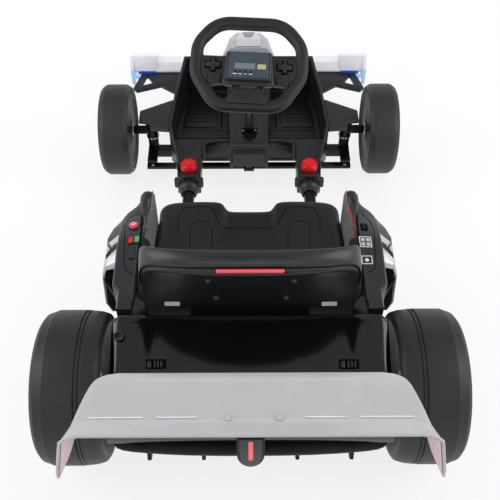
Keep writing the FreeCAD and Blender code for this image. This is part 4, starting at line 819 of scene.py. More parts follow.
def wing_row(t):
    """One row across the wing, at a share t of the way from its front edge to its rear edge."""
    kick = max(0.0, (t - 0.72) / 0.28)
    y = WING_FRONT - WING_DEPTH * t
    z = WING_HIGH - 29 + 5 * t + 3 * math.sin(math.pi * t) + 21 * kick ** 1.1
    half = 234 + 24 * t
    foot_x = 256 + 49 * t ** 0.85
    foot_y = y - (WING_FRONT - WING_DEPTH - WING_TAIL - 18) * t ** 1.5
    foot_z = z - 8 - (WING_HIGH - WING_LOW - 8) * t ** 0.9
    side = []
    for step in range(11):
        q = step / 10
        bent = min(1.0, q / 0.4)
        x = half + (16 + 8 * t) * (1 - (1 - bent) ** 2) + (foot_x - half - 16 - 8 * t) * q
        drop = 0.16 * bent ** 2 + 0.84 * max(0.0, (q - 0.3) / 0.7)
        side.append((x, y + (foot_y - y) * q, z + (foot_z - z) * drop))
    top = [(half * k / 12, y, z) for k in range(-11, 12)]
    left = [(-x, b, c) for x, b, c in reversed(side)]
    return [spot(x, b - drawn_back(x, t), c) for x, b, c in (*left, *top, *side)]


wing_rows = [wing_row(step / 22) for step in range(23)]
for index, low in enumerate((9, 4.5, 1.6)):
    for point in wing_rows[index]:
        point.y += (2 - index) * 0.9 * MM
        point.z -= low * MM
wing = skin(wing_rows, thick=3.4)
piece("rear_wing_sheet", wing, "polycarbonate_frosted", "rear_wing", angle=50)
print("wing rows", len(wing_rows), "of", len(wing_rows[0]), "points")

# %% [markdown]
# The tail deck is thin ABS from a polished mould. It is raised a little along both sides, with a soft ramp
# down to the middle, and its edges roll over. The mirror like face shows whatever hangs above it, here the
# black card, as a dark curve, so the form has to be right for the reflection to be right.

# %% Rear deck
deck_box = edges_of("rear_deck")
DECK_HALF, DECK_REAR, DECK_FRONT, DECK_LOW, DECK_HIGH = deck_box[1:]
DECK_FALL = 86 / 205
DECK_CORNER = 18
DECK_ROLL = 12


def ease(value, start, end):
    """0 before the start, 1 after the end, and smooth between them."""
    t = min(1.0, max(0.0, (value - start) / (end - start)))
    return t * t * (3 - 2 * t)


def deck_row(y, drop=0.0, skirt=None):
    """One row over the deck, side skirt to side skirt, at a distance from the rear axle."""
    past = max(0.0, y - (DECK_FRONT - DECK_CORNER))
    half = DECK_HALF - (DECK_CORNER - math.sqrt(max(0.0, DECK_CORNER ** 2 - past ** 2)))
    top = DECK_HIGH - 1 - DECK_FALL * (DECK_FRONT - y) - drop
    xs = [half * k / 8 for k in range(0, 5)] + [152, 168, 180, 186, 191, 196, 202, 212, 228, half - DECK_ROLL,
                                                half - 6, half - 2.4, half - 0.6, half, half]
    right = []
    for index, x in enumerate(xs):
        side = ease(x, 180, 202)
        z = top - 0.8 * (1 - side) + 0.6 * math.cos(x / 190 * math.pi / 2) * (1 - side)
        left_over = x - (half - DECK_ROLL)
        if left_over > 0:
            z -= DECK_ROLL - math.sqrt(max(0.0, DECK_ROLL ** 2 - left_over ** 2))
        if index == len(xs) - 1:
            z = DECK_LOW
        right.append((x, y, z if skirt is None else min(z, skirt)))
    left = [(-x, b, c) for x, b, c in reversed(right[1:])]
    return [spot(*p) for p in (*left, *right)]


deck_rows = [deck_row(DECK_FRONT, 0, DECK_HIGH - 60), deck_row(DECK_FRONT, 9),
             deck_row(DECK_FRONT - 1.2, 4.5), deck_row(DECK_FRONT - 4, 1.4), deck_row(DECK_FRONT - 9, 0.2)]
deck_rows += [deck_row(DECK_FRONT - DECK_CORNER - 16 * k) for k in range(11)]
deck_rows += [deck_row(DECK_REAR + 6, 0.6), deck_row(DECK_REAR + 2, 2.6), deck_row(DECK_REAR, 7),
              deck_row(DECK_REAR, 0, DECK_LOW + 2)]
deck = piece("rear_deck_shell", skin(deck_rows, thick=3.0), "abs_piano_black", "rear_deck", angle=45)
on_deck = surfaces(deck)
print("deck rows", len(deck_rows))

# %% Latches on the deck, with painted shade in their recesses and along the mould lines
teeth = [tile(-15, -8, -6, 6, 2, 0, 7, 1.0)]
teeth += [tile(x, x + 3.2, -6, 6, 1.2, 0, 8, 0.8) for x in (-3, 3, 9)]
latch = joined(*teeth)
# A dark plate under each latch: painted shade in the latch's recess.
recess = tile(-19, 19, -8, 11, 4, -1, 0.6, 0.4)
LATCHES_SEEN = {"left": (156, 365), "right": (349, 365)}
for side, dot in LATCHES_SEEN.items():
    piece(f"deck_latch_{side}_recess", stud_on(on_deck, dot, recess.copy()), "black_screen_and_painted_shade")
    piece(f"deck_latch_{side}", stud_on(on_deck, dot, latch.copy()), "polypropylene_satin")
# The mould lines are dark rods: painted shade along the seams.
SEAMS_SEEN = ([(112, 319), (116, 318), (118, 316), (140, 313)],
              [(388, 319), (384, 318), (382, 316), (360, 313)])
seams = joined(*[line_on(on_deck, dots, 0.8, False) for dots in SEAMS_SEEN])
piece("deck_seam_shade", seams, "black_screen_and_painted_shade")
port_box = edges_of("charge_port")
PORT_X, PORT_Y = (port_box[0] + port_box[1]) / 2, (port_box[2] + port_box[3]) / 2
socket = placed(standing([(0, 5.8, 0.4), (0, 9.6, 1), (4.5, 10.6, 1.2), (6, 9, 1), (5.4, 6.4, 0.6),
                          (-8, 5.8, 1)], 40, 3), at(PORT_X, PORT_Y, 275))
pins = [placed(plate([oval(1.1, 12)], 0, 6, 0.3), at(PORT_X + x, PORT_Y + y, 266))
        for x, y in ((0, 2.4), (-2.2, -1.4), (2.2, -1.4))]
floor_disc = placed(plate([oval(6, 24)], 0, 1, 0.2), at(PORT_X, PORT_Y, 265))
piece("charge_port_ring", joined(socket, floor_disc), "polypropylene_satin", "charge_port")
piece("charge_port_pins", joined(*pins), "zinc_plated_steel")
print("deck fittings done")

# %% [markdown]
# The seat's back is a hard shell. Seen from behind, a thick satin roll crowns it and runs down both ends
# like a horseshoe, a strip below the roll holds the brake light, and the shell then tucks in under a ledge.
# Both are lofted through closed sections that follow each other from left to right.

# %% Loft through stations
def mirrored_loft(stations, subdivide=2):
    """A closed form through sections (x, points of (y, z)) of the right half, from the middle outward."""
    right = [[spot(x, y, z) for y, z in points] for x, points in stations]
    left = [[spot(-x, y, z) for y, z in points] for x, points in reversed(stations[1:])]
    mesh = skin([*left, *right], loop=True, ends=True)
    return subdivided(mesh, subdivide)


def subdivided(mesh, levels):
    """The mesh after Catmull and Clark's smoothing, as a plain mesh."""
    holder = link_in("holder", mesh)
    smoother = holder.modifiers.new("smoother", "SUBSURF")
    smoother.levels = levels
    bpy.context.view_layer.update()
    smooth = bpy.data.meshes.new_from_object(holder.evaluated_get(bpy.context.evaluated_depsgraph_get()))
    bpy.data.objects.remove(holder)
    return smooth


roll = mirrored_loft([
    (0, [(90, 463), (76, 463.5), (61, 457), (57, 446), (66, 441), (86, 442)]),
    (60, [(91, 462.5), (77, 463), (62, 456), (58, 445), (67, 440), (87, 441)]),
    (120, [(96, 459), (82, 459), (66, 452), (62, 440), (71, 435), (91, 437)]),
    (160, [(106, 452), (91, 451), (76, 443), (72, 431), (80, 426), (99, 430)]),
    (184, [(121, 442), (105, 440), (90, 431), (85, 418), (92, 412), (112, 419)]),
    (198, [(133, 428), (118, 424), (101, 414), (93, 400), (99, 394), (122, 404)]),
    (203, [(131, 408), (117, 401), (103, 391), (95, 379), (99, 374), (118, 386)]),
    (203, [(120, 380), (109, 373), (99, 366), (93, 358), (96, 353), (110, 363)]),
    (200, [(111, 360), (104, 356), (97, 352), (93, 348), (96, 345), (105, 350)]),
])
piece("seat_back_roll", roll, "abs_satin_grey", "seat_back_rim", angle=60)
WAIST = ((88, 350), (95, 318), (98, 290), (99, 142), (148, 142), (140, 200), (122, 290), (108, 380))
shell = mirrored_loft([
    (0, [(64, 445), (55, 445), (51, 433), (53, 428), (66, 421), (76, 390), *WAIST, (96, 430), (88, 446)]),
    (55, [(65, 444), (56, 444), (52, 432), (54, 427), (66, 420), (76, 390), *WAIST, (97, 430), (89, 445)]),
    (100, [(68, 440), (60, 440), (56, 431), (58, 426), (68, 418), (77, 389), *WAIST, (99, 427), (92, 440)]),
    (150, [(78, 430), (71, 429), (68, 424), (69, 420), (75, 412), (82, 386), (90, 350), (96, 318),
           (98, 290), (99, 142), (148, 142), (141, 200), (126, 290), (114, 375), (108, 418), (102, 431)]),
    (186, [(95, 414), (90, 410), (88, 404), (88, 399), (89, 392), (91, 374), (94, 346), (97, 318),
           (99, 290), (100, 142), (149, 142), (146, 200), (138, 290), (128, 365), (122, 400), (116, 414)]),
    (200, [(104, 392), (100, 388), (98, 382), (97, 376), (97, 368), (97, 354), (98, 334), (99, 312),
           (100, 290), (101, 144), (149, 144), (148, 200), (144, 290), (136, 350), (130, 380), (122, 392)]),
    (203, [(108, 384), (105, 380), (103, 375), (102, 370), (101, 362), (101, 350), (101, 332), (102, 311),
           (103, 290), (104, 148), (147, 148), (146, 200), (142, 290), (134, 344), (128, 370), (120, 384)]),
])
back = piece("seat_back_shell", shell, "polypropylene_fine", "seat_back", angle=60)
on_back = surfaces(back)
print("roll and shell done")

# %% Brake light, nubs and plates on the shell
bar = placed(plate([rounded([(-59, -3.4), (59, -3.4), (59, 3.4), (-59, 3.4)], 3.4, 6)], -2, 3.4, 1.2, 3),
             facing(spot(0, 55, 443), (1, 0, 0), (0, -0.35, 1)))
piece("brake_light_lens", bar, "acrylic_red_lit", "brake_light")
BEZEL_SEEN = [(215, 266), (289, 266), (291, 269), (289, 272.5), (215, 272.5), (213, 269)]
NUBS_SEEN = [(208, 280), (294, 280), (216, 297), (286, 297)]
HINGES_SEEN = [(172.5, 301), (329, 301)]
# A dark line round the lens: painted shade in the gap between lens and shell.
bezel = line_on(on_back, BEZEL_SEEN, 0.9)
piece("brake_light_bezel_shade", bezel, "black_screen_and_painted_shade")
nub = standing([(-2, 0.5), (5, 0.5), (6, 3, 1), (3, 5.5, 1.5), (-2, 6.5)], 24, 3)
nubs = studs_on(on_back, NUBS_SEEN, nub)
piece("seat_back_nubs", nubs, "abs_satin_grey")
hinge = placed(tile(-14.5, 14.5, -4, 4, 1.2, -1, 1.4, 0.5), Matrix.Rotation(math.radians(-40), 4, "X"),
               shift(0, 0, 6))
plates = studs_on(on_back, HINGES_SEEN, hinge)
piece("seat_back_plates", plates, "brushed_aluminium")
print("fittings on the shell done")

# %% [markdown]
# The seat's pan is a shallow tray with a raised rim. Two leg rests end in a lip, and a notch between them
# leaves room for the child's feet on the way to the footwells. The panel lines are grooves in the mould,
# drawn as lines of painted shade.

# %% Seat pan
def pan_section(nose, lip, middle, rear):
    """One section along the pan: how far forward it reaches, its lip, its middle and its rear."""
    return [(nose - 20, 119), (nose - 6, 150), (nose, lip - 12), (nose - 2, lip - 1), (nose - 12, lip),
            (nose - 40, lip - 4), (nose - 90, middle + 3), (nose - 150, middle), (230, middle), (180, rear),
            (152, rear + 2), (152, 119)]


pan = mirrored_loft([
    (0, pan_section(424, 199, 189, 186)), (40, pan_section(424, 199, 189, 186)),
    (51, pan_section(426, 200, 190, 186)), (59, pan_section(441, 208, 191, 187)),
    (70, pan_section(445, 211, 192, 187)), (120, pan_section(445, 211, 192, 188)),
    (160, pan_section(444, 210, 195, 192)), (180, pan_section(442, 208, 203, 203)),
    (194, pan_section(436, 205, 209, 211)), (202, pan_section(426, 199, 207, 209)),
    (203.5, pan_section(420, 190, 190, 190)),
], 1)
pan_piece = piece("seat_pan", pan, "polypropylene_fine", "seat_base", angle=50)
on_pan = surfaces(pan_piece)
GROOVES_SEEN = ([(178, 232), (178, 218), (184, 208), (204, 206), (213, 209), (220, 225), (226, 228),
                 (272, 228), (278, 225), (285, 209), (294, 206), (314, 208), (320, 218), (320, 232)],
                [(190, 248), (190, 226), (196, 221), (206, 221), (212, 228), (212, 248)],
                [(288, 248), (288, 228), (294, 221), (304, 221), (310, 226), (310, 248)])
# The grooves are dark rods: painted shade in them.
grooves = joined(*[line_on(on_pan, dots, 0.9, False) for dots in GROOVES_SEEN])
piece("seat_pan_groove_shade", grooves, "black_screen_and_painted_shade")
print("seat pan done")

# %% [markdown]
# Under the deck's tail hangs a boat tailed diffuser with four fins, and in its middle a tongue shaped boss
# with an upright red lamp, as on a racing car.

# %% Tail boss
boss_box = edges_of("tail_boss")


def tongue_outline(half, top, foot, drop):
    """A flat topped outline that ends below in half an ellipse."""
    arc = [(half * math.cos(math.pi * k / 20), foot + drop - drop * math.sin(math.pi * k / 20))
           for k in range(21)]
    return [(-half, top), (half, top), *arc]


tongue = tongue_outline(25, 250, boss_box[4] + 0.5, 44)
lamp_plane = facing_back(0, boss_box[2] + 8, 0)
shell_mesh = placed(plate([tongue], -10, 7.2, 4, 4), lamp_plane)
piece("tail_boss_shell", shell_mesh, "polypropylene_matt", "tail_boss")
seam = placed(plate([tongue_outline(20, 246, boss_box[4] + 6, 39)], 6.4, 7.8, 0.6), lamp_plane)
piece("tail_boss_face", seam, "polypropylene_satin")
lens = placed(tile(-4.2, 4.2, 166, 240, 3, 6.8, 8, 0.5, 2), lamp_plane)
piece("tail_lamp", lens, "acrylic_red_lit")
under_tail = mirrored_loft([
    (0, [(-140, 166), (-148, 158), (-146, 142), (-136, 133), (-110, 128), (-64, 126), (-62, 140),
         (-90, 158)]),
    (120, [(-139, 166), (-147, 158), (-145, 142), (-134, 133), (-110, 128), (-64, 126), (-62, 140),
           (-90, 158)]),
    (200, [(-134, 166), (-142, 158), (-139, 142), (-128, 134), (-106, 129), (-64, 126), (-62, 140),
           (-88, 158)]),
    (240, [(-130, 166), (-138, 158), (-135, 143), (-124, 135), (-103, 130), (-64, 127), (-62, 141),
           (-86, 158)]),
    (258, [(-122, 165), (-129, 157), (-127, 147), (-117, 140), (-98, 134), (-66, 131), (-64, 143),
           (-82, 157)]),
], 1)
fin_outline = rounded([(-62, 134), (-134, 134), (-140, 116), (-128, 104), (-80, 108), (-62, 126)], 5)
fins = [placed(plate([fin_outline], -3.5, 3.5, 1), facing_right(x)) for x in (-190, -88, 88, 190)]
piece("diffuser_shell", joined(under_tail, *fins), "polypropylene_matt", "diffuser", angle=45)
print("tail done")

# %% Wing struts and wing trim
sheet_under = surfaces(bpy.data.objects["rear_wing_sheet"])
strut_outline = rounded([(-75, 236, 2), (-75, 256, 6), (-100, 330, 30), (-128, 398, 4), (-160, 401, 4),
                         (-168, 396, 4), (-150, 340, 40), (-132, 220, 2), (-110, 214, 2)], 3)
for side, _ in SIDES:
    strut_box = edges_of(f"wing_strut_{side}")
    mesh = placed(plate([strut_outline], -5, 5, 1.8, 3), facing_right((strut_box[0] + strut_box[1]) / 2))
    piece(f"wing_strut_{side}_blade", mesh, "abs_satin_grey", f"wing_strut_{side}")
SCREW_CAPS_SEEN = [(228, 418), (280, 418)]
screw_caps = studs_on(sheet_under, SCREW_CAPS_SEEN, tile(-5, 5, -5.5, 5.5, 1.5, -1, 2.6, 1.0))
piece("rear_wing_screw_caps", screw_caps, "polycarbonate_frosted")
# White rods along the bend where the rear edge kicks up: a painted highlight on that crease.
HIGHLIGHT_LIFT = Vector((0, 0, 0.9 * MM))
painted_crease_lines = [rod([point + HIGHLIGHT_LIFT for point in wing_rows[15][a:b]], 1.2) for a, b in ((10, 15), (15, 19))]
piece("rear_wing_creases", both(*painted_crease_lines), "polypropylene_white")
BEAD_SHIFT = Vector((0, 0.8 * MM, -1.4 * MM))
LINER_GAP = 4.6 * MM
lip = rod([point + BEAD_SHIFT for point in wing_rows[-1][1:-1]], 2.3)
piece("rear_wing_rear_bead", lip, "polycarbonate_frosted")
for side, sign in SIDES:
    liner = skin([[Vector((sign * (p.x - LINER_GAP), p.y, p.z)) for p in row[-9:]] for row in wing_rows[10:]],
                 thick=0.5)
    piece(f"rear_wing_liner_{side}", liner, "polycarbonate_blush", angle=60)
print("wing trim done")

# %% [markdown]
# On both sides of the seat lies a satin console, and outside it a polished pod. The left console carries
# the start button and three rockers, the right one the radio's keys, and one dark line of painted shade
# along a mould line sets off their panels. Consoles and pods are skins through sections, and the small
# parts are then placed on them by the picture.

# %% Consoles
def side_form(sign, rows):
    """A closed form through sections along the kart, each a distance forward and corners of (x, z)."""
    return sided(skin([[spot(x, y, z) for x, z in corners] for y, corners in rows], loop=True, ends=True),
                 sign)


def box_corners(inner, outer, low, high, outer_high):
    """A section with an upright inner face and a rounded shoulder outside."""
    soft = min(4, (outer - inner) / 3)
    return [(inner, low), (inner, high - 2), (inner + soft / 2, high), (outer - soft, outer_high + 1),
            (outer - soft / 3, outer_high - 1), (outer, outer_high - soft), (outer, low)]


CONSOLE = [(397, 229.5, 234, 120, 262, 260), (394, 229.5, 236, 79, 266, 263), (378, 229.5, 245, 78, 268, 262),
           (364, 229.5, 263, 78, 268, 257), (352, 229.5, 272, 78, 268, 253),
           (346, 229.5, 273, 78, 268.5, 254), (320, 229.5, 273, 78, 272, 263),
           (285, 229.5, 273, 78, 275.5, 271), (253, 229.5, 273, 78, 277, 275),
           (232, 229.5, 273, 79, 275.5, 274), (226, 229.5, 273, 160, 275, 273.5),
           (162, 229.5, 273, 166, 268, 267), (150, 229.5, 261, 166, 267, 266),
           (108, 229.5, 261, 166, 263, 263), (105, 230.5, 260, 168, 261, 261)]
console_rows = [(y, box_corners(*sizes)) for y, *sizes in CONSOLE]
POD_IN = 273.4
pod_rows = [(351, [(POD_IN, 80), (275, 80), (276, 110), (276, 200), (275.6, 244), (POD_IN, 251)]),
            (348, [(POD_IN, 78), (278, 78), (280, 110), (280, 200), (279, 244), (POD_IN, 252)]),
            (335, [(POD_IN, 78), (288, 78), (295, 110), (296, 200), (293, 236), (POD_IN, 252)]),
            (319, [(POD_IN, 78), (300, 78), (308, 110), (309, 195), (305, 224), (POD_IN, 252)]),
            (292, [(POD_IN, 78), (305, 78), (314, 110), (311, 200), (302, 234), (POD_IN, 251)]),
            (262, [(POD_IN, 78), (306, 78), (316.5, 110), (311, 200), (301, 236), (POD_IN, 250)]),
            (240, [(POD_IN, 78), (306, 78), (316.5, 110), (311, 200), (300, 230), (POD_IN, 242)]),
            (231, [(POD_IN, 79), (305, 79), (315, 110), (309.5, 198), (299, 222), (POD_IN, 230)]),
            (229, [(274, 82), (302, 82), (312, 111), (307, 195), (298, 216), (274, 222)])]
consoles = {}
for side, sign in SIDES:
    consoles[side] = piece(f"console_{side}_shell", side_form(sign, console_rows), "abs_console",
                           f"console_{side}", angle=28)
    piece(f"side_pod_{side}_shell", side_form(sign, pod_rows), "abs_piano_black",
          f"side_pod_{side}", angle=28)
on_left, on_right = surfaces(consoles["left"]), surfaces(consoles["right"])


def slope_point(y, share):
    """A place a hair above the pod's sloping shoulder, at a share of the way from the console outward."""
    ahead = next(i for i, row in enumerate(pod_rows) if row[0] <= y)
    (y1, front), (y2, back) = pod_rows[ahead - 1], pod_rows[ahead]
    t = (y1 - y) / (y1 - y2)
    inner, outer = [Vector(front[k]).lerp(Vector(back[k]), t) for k in (5, 4)]
    x, z = inner.lerp(outer, share)
    return spot(x, y, z + 0.9)


def decal(corners):
    """A thin foil on the pod's shoulder between four corners of (distance forward, share)."""
    a, b, c, d = [Vector(corner) for corner in corners]
    grid = [[slope_point(*a.lerp(b, k / 6).lerp(d.lerp(c, k / 6), j / 8)) for k in range(7)]
            for j in range(9)]
    return skin(grid, thick=0.5)


foils = joined(decal([(308, 0.06), (297, 0.9), (282, 0.6), (288, 0.06)]),
               decal([(290, 0.98), (276, 1.0), (263, 0.98), (276, 0.72)]),
               decal([(272, 0.06), (252, 0.98), (232, 0.98), (232, 0.06)]))
piece("side_pod_foils", both(foils), "polyester_foil_silver")
band = decal([(295, 0.98), (291, 0.98), (275, 0.5), (279, 0.44)])
piece("side_pod_bands", both(band), "polyester_foil_grey")
vent_plane = facing_back(0, 228.6, 0)
# A dark plate behind the slats: painted shade inside the vents.
vent = plate([rounded([(280, 200), (303, 196), (310, 112), (302, 84), (282, 84)], 4)], -1, 0.8, 0.4)
slat = plate([rounded([(282, 112), (286, 110), (303, 182), (300, 186)], 1.5)], 0, 2.4, 0.8)
piece("side_pod_vent_shade", both(placed(vent, vent_plane)), "black_screen_and_painted_shade")
piece("side_pod_slats", both(placed(slat, vent_plane)), "abs_console")
LEFT_LINE_SEEN = [(143, 214), (135, 215), (128, 219), (125, 226), (124, 262), (126, 270), (134, 276)]
RIGHT_LINE_SEEN = [(356, 213.5), (362, 214), (370, 221), (374, 230), (376, 262), (374, 269), (365, 274)]
# Dark lines along the mould lines: painted shade that sets off the panels.
line_left = line_on(on_left, LEFT_LINE_SEEN, 0.9, False)
line_right = line_on(on_right, RIGHT_LINE_SEEN, 0.9, False)
piece("console_line_shade", joined(line_left, line_right), "black_screen_and_painted_shade")


def round_button(radius, tall):
    """A crowned button made round Z."""
    return standing([(-2, 0.3), (tall + 1.2, 0.3), (tall + 0.6, radius * 0.6, 4), (tall - 1.2, radius, 2),
                     (-2, radius)], 40, 4)


START_SEEN = (134, 226)
well = standing([(-1, 10.6), (1.8, 10.8, 0.6), (2.2, 13, 1), (-1, 14)], 40, 3)
piece("start_button_well", stud_on(on_left, START_SEEN, well), "polypropylene_fine")
piece("start_button", stud_on(on_left, START_SEEN, round_button(10.4, 5)), "polycarbonate_rose")
halo = standing([(5.2, 3.2), (6.6, 3.2), (6.6, 4.6), (5.2, 4.6)], 32)
piece("start_button_mark", stud_on(on_left, START_SEEN, halo), "enamel_white")


def rocker(wide, long):
    """A rocker key, its face bent to a shallow valley, on its frame."""
    frame_part = tile(-wide / 2 - 1.4, wide / 2 + 1.4, -long / 2 - 1.4, long / 2 + 1.4, 1.5, -1, 1.6, 0.5)
    rows = [[(x * MM, y * MM, z * MM) for x in (-wide / 2, wide / 2)]
            for y, z in ((-long / 2, -1), (-long / 2, 4.4), (0, 2.6), (long / 2, 3.4), (long / 2, -1))]
    return frame_part, skin(rows, thick=1.0)


ROCKERS_SEEN = (("red", (131, 241), (9, 17), "polycarbonate_red"),
                ("green", (137, 240), (9, 17), "polycarbonate_green"),
                ("black", (132, 255), (12, 19), "abs_satin_grey"))
for name, dot, size, finish in ROCKERS_SEEN:
    base, key = rocker(*size)
    piece(f"rocker_{name}_frame", stud_on(on_left, dot, base), "polypropylene_fine")
    piece(f"rocker_{name}", stud_on(on_left, dot, key), finish)
print("left console done")

# %% Keys on the right console
def outlined(wide, tall, width, low, high):
    """A thin rectangular frame."""
    outer = oblong(-wide / 2, wide / 2, -tall / 2, tall / 2, 1.6)
    inner = oblong(-wide / 2 + width, wide / 2 - width, -tall / 2 + width, tall / 2 - width, 1.0)
    return plate([outer, inner], low, high, 0.15, 1)


SCREEN_SEEN, RADIO_KEYS_SEEN, LIGHT_KEY_SEEN = (364, 227), (365.5, 242), (367, 260)
screen = tile(-8, 8, -10, 10, 2, -1, 1.4, 0.5)
piece("radio_screen", stud_on(on_right, SCREEN_SEEN, screen), "black_screen_and_painted_shade")
caps = [placed(tile(-3.9, 3.9, -4.6, 4.6, 1, -0.5, 1.6, 0.5), shift(x, y, 0))
        for x in (-5.2, 5.2) for y in (-7, 6)]
piece("radio_keys", stud_on(on_right, RADIO_KEYS_SEEN, joined(*caps)), "polypropylene_pale")
piece("radio_key_marks", stud_on(on_right, RADIO_KEYS_SEEN, outlined(25, 31, 1.5, 0.2, 1.0)), "enamel_white")
piece("light_key_frame", stud_on(on_right, LIGHT_KEY_SEEN, outlined(22, 20, 1.5, 0.2, 1.0)), "enamel_white")
piece("light_key", stud_on(on_right, LIGHT_KEY_SEEN, round_button(4.2, 1.2)), "enamel_white")
dashes = [placed(tile(-3, 3, -0.7, 0.7, 0.4, 0, 0.5, 0.1), shift(0, y, 1.3)) for y in (-5, 0, 5)]
piece("radio_screen_marks", stud_on(on_right, SCREEN_SEEN, joined(*dashes)), "abs_satin_grey")
print("right console done")

# %% [markdown]
# Between seat and console stands a bolster, an ear in front that falls to a sloping inner cheek behind. The
# cheek is lined with warm grey vinyl, and on the right a red piping closes the lining.

# %% Bolsters
EARS = [(404, 206, 268, 210, 277, 224, 276, 236, 262), (395, 205, 284, 209, 297, 226, 297, 239, 280),
        (380, 205, 280, 209, 295, 228, 296, 241, 280), (362, 205, 262, 210, 280, 228, 287, 240, 270),
        (345, 206, 240, 213, 262, 226, 272, 236, 262), (325, 207, 215, 217, 240, 225, 256, 230, 262),
        (300, 207.5, 203, 219, 226, 226, 250, 229, 260), (240, 207.5, 198, 220, 222, 226, 248, 229, 258),
        (153, 207.5, 196, 220, 220, 226, 246, 229, 256)]
ear_rows = [(y, [(a, 119), (a, b), (c, d), (e, f), (g, h), (g, 119)]) for y, a, b, c, d, e, f, g, h in EARS]


def sunk(y):
    """How far the lining stays below the ear's round top."""
    return 4 * ease(y, 350, 380)


def cheek_edge(y, c, d, e, f):
    """The upper edge of the lining: low on the ear in front, and further up on the sloping cheek behind."""
    share = 0.6 * (1 - ease(y, 320, 372))
    return c + (e - c) * share, d + (f - d) * share


cheek_rows = [(y, [(a - 0.5, 125), (a - 0.5, b - 1 - sunk(y)), (c - 0.6, d - 0.4 - sunk(y)),
                   cheek_edge(y, c, d + 0.5 - sunk(y), e, f + 0.5 - sunk(y))])
              for y, a, b, c, d, e, f, g, h in EARS[1:8]]
for side, sign in SIDES:
    ear = subdivided(side_form(sign, ear_rows), 1)
    piece(f"bolster_{side}_ear", ear, "abs_satin_grey", f"bolster_{side}", angle=40)
    lining = sided(skin([[spot(x, y, z) for x, z in corners] for y, corners in cheek_rows], thick=0.4), sign)
    piece(f"bolster_{side}_lining", lining, "vinyl_warm_grey", angle=40)
seam_places = [(y, *cheek_edge(y, c, d, e, f)) for y, a, b, c, d, e, f, g, h in EARS[3:7]]
piping = rod([spot(x + 0.4, y, z + 1.2) for y, x, z in seam_places], 1.3)
gusset_rows = [(153, [(206, 121), (206, 214), (228.8, 236), (228.8, 121)]),
               (128, [(204.5, 121), (204.5, 226), (228.8, 246), (228.8, 121)]),
               (98, [(203.5, 150), (203.5, 238), (228.8, 256), (228.8, 150)])]
for side, sign in SIDES:
    piece(f"side_gusset_{side}", side_form(sign, gusset_rows), "polypropylene_charcoal")
piece("bolster_right_piping", piping, "polycarbonate_red")
print("bolsters done")

# %% [markdown]
# The steering wheel is shaped like a racing wheel: flat at the top, wide at the lower grips, with the
# display in the middle. Its rim is a soft PVC skin over a steel core, swept round one rounded outline. The
# web is a moulded plate with windows. Everything is made flat, in the wheel's own frame, and then leaned
# back with the column, and turned by the three degrees at which the kart was left standing.

# %% The column's frame
steer = next(j for j in frame["record"]["behaviour"]["joints"] if j["name"] == "steer")
AXIS = Vector(steer["axis"])
COLUMN = facing(steer["pos_m"], (1, 0, 0), AXIS.cross(Vector((1, 0, 0))))
WHEEL = COLUMN @ Matrix.Rotation(math.radians(-3), 4, "Z")
COLUMN_TOP = 386
GRIP = 12.8


def ring_sweep(path, across, deep, level, steps=18):
    """A closed rim swept round a flat outline, with an oval section."""
    rows = []
    count = len(path)
    for index in range(count):
        before, here, after = Vector(path[index - 1]), Vector(path[index]), Vector(path[(index + 1) % count])
        along = ((here - before).normalized() + (after - here).normalized()).normalized()
        out = Vector((along.y, -along.x))
        row = []
        for step in range(steps):
            turn = 2 * math.pi * step / steps
            c, s = math.cos(turn), math.sin(turn)
            side = abs(c) ** 0.85 * math.copysign(across, c)
            lift = abs(s) ** 0.85 * math.copysign(deep, s)
            row.append(((here.x + out.x * side) * MM, (here.y + out.y * side) * MM, (level + lift) * MM))
        rows.append(row)
    return ring([*rows, rows[0]])


def on_wheel(name, material, *meshes, node=None, angle=32):
    """A piece of the steering wheel, made flat round the column's axis and then leaned back with it."""
    return piece(name, placed(joined(*meshes), WHEEL), material, node, body="steering", angle=angle)


rim_line = evened(rounded([(-72, 99, 74), (72, 99, 74), (113, 46, 62), (113, -22, 60), (70, -91, 52),
                           (-70, -91, 52), (-113, -22, 60), (-113, 46, 62)], steps=10), 6)
rim = ring_sweep(rim_line, GRIP, 13.2, COLUMN_TOP + 13.5)
on_wheel("steering_wheel_rim", "pvc_grip", rim, angle=60)
print("rim outline has", len(rim_line), "points")

# %% Web, windows and lower pad
upper = rounded([(-99, 19, 5), (99, 19, 5), (99, 46, 50), (64, 86, 50), (-64, 86, 50), (-99, 46, 50)],
                steps=8)
low_left = rounded([(-80, -45), (-38, -40), (-32, -58), (-48, -79), (-66, -72)], 7)
low_mid = rounded([(-24, -38), (24, -38), (15, -60), (-15, -60)], 4)
low_right = [(-x, y) for x, y in low_left]
web_outline = rounded([(-68, 93, 66), (68, 93, 66), (107, 44, 58), (107, -22, 55), (66, -86, 48),
                       (-66, -86, 48), (-107, -22, 55), (-107, 44, 58)], steps=8)
web = plate([web_outline, upper, low_left, low_mid, low_right], COLUMN_TOP + 4, COLUMN_TOP + 21, 2.4, 3)
pad_outline = rounded([(-27, -57), (27, -57), (46, -90), (-46, -90)], 6)
pad = plate([pad_outline], COLUMN_TOP + 12, COLUMN_TOP + 29.5, 2.5, 3)
thumbs = [plate([rounded([(s * 93, -18), (s * 62, -20), (s * 52, -28), (s * 60, -44), (s * 88, -46)], 8)],
                COLUMN_TOP + 16, COLUMN_TOP + 24, 2.5, 3) for s in (-1, 1)]
boss = placed(standing([(0, 4), (0, 22), (30, 16), (30, 4)], 40), shift(0, 0, COLUMN_TOP - 22))
on_wheel("steering_wheel_web", "polypropylene_satin", web, pad, *thumbs, boss, node="steering_wheel")
print("web done")

# %% Button clusters
def cross(across, up, arm, post, low, high, edge):
    """A plus sign as a plate."""
    h, v = across / 2, up / 2
    corners = [(-h, -arm), (-post, -arm), (-post, -v), (post, -v), (post, -arm), (h, -arm),
               (h, arm), (post, arm), (post, v), (-post, v), (-post, arm), (-h, arm)]
    return plate([rounded(corners, 1.5, 3)], low, high, edge)


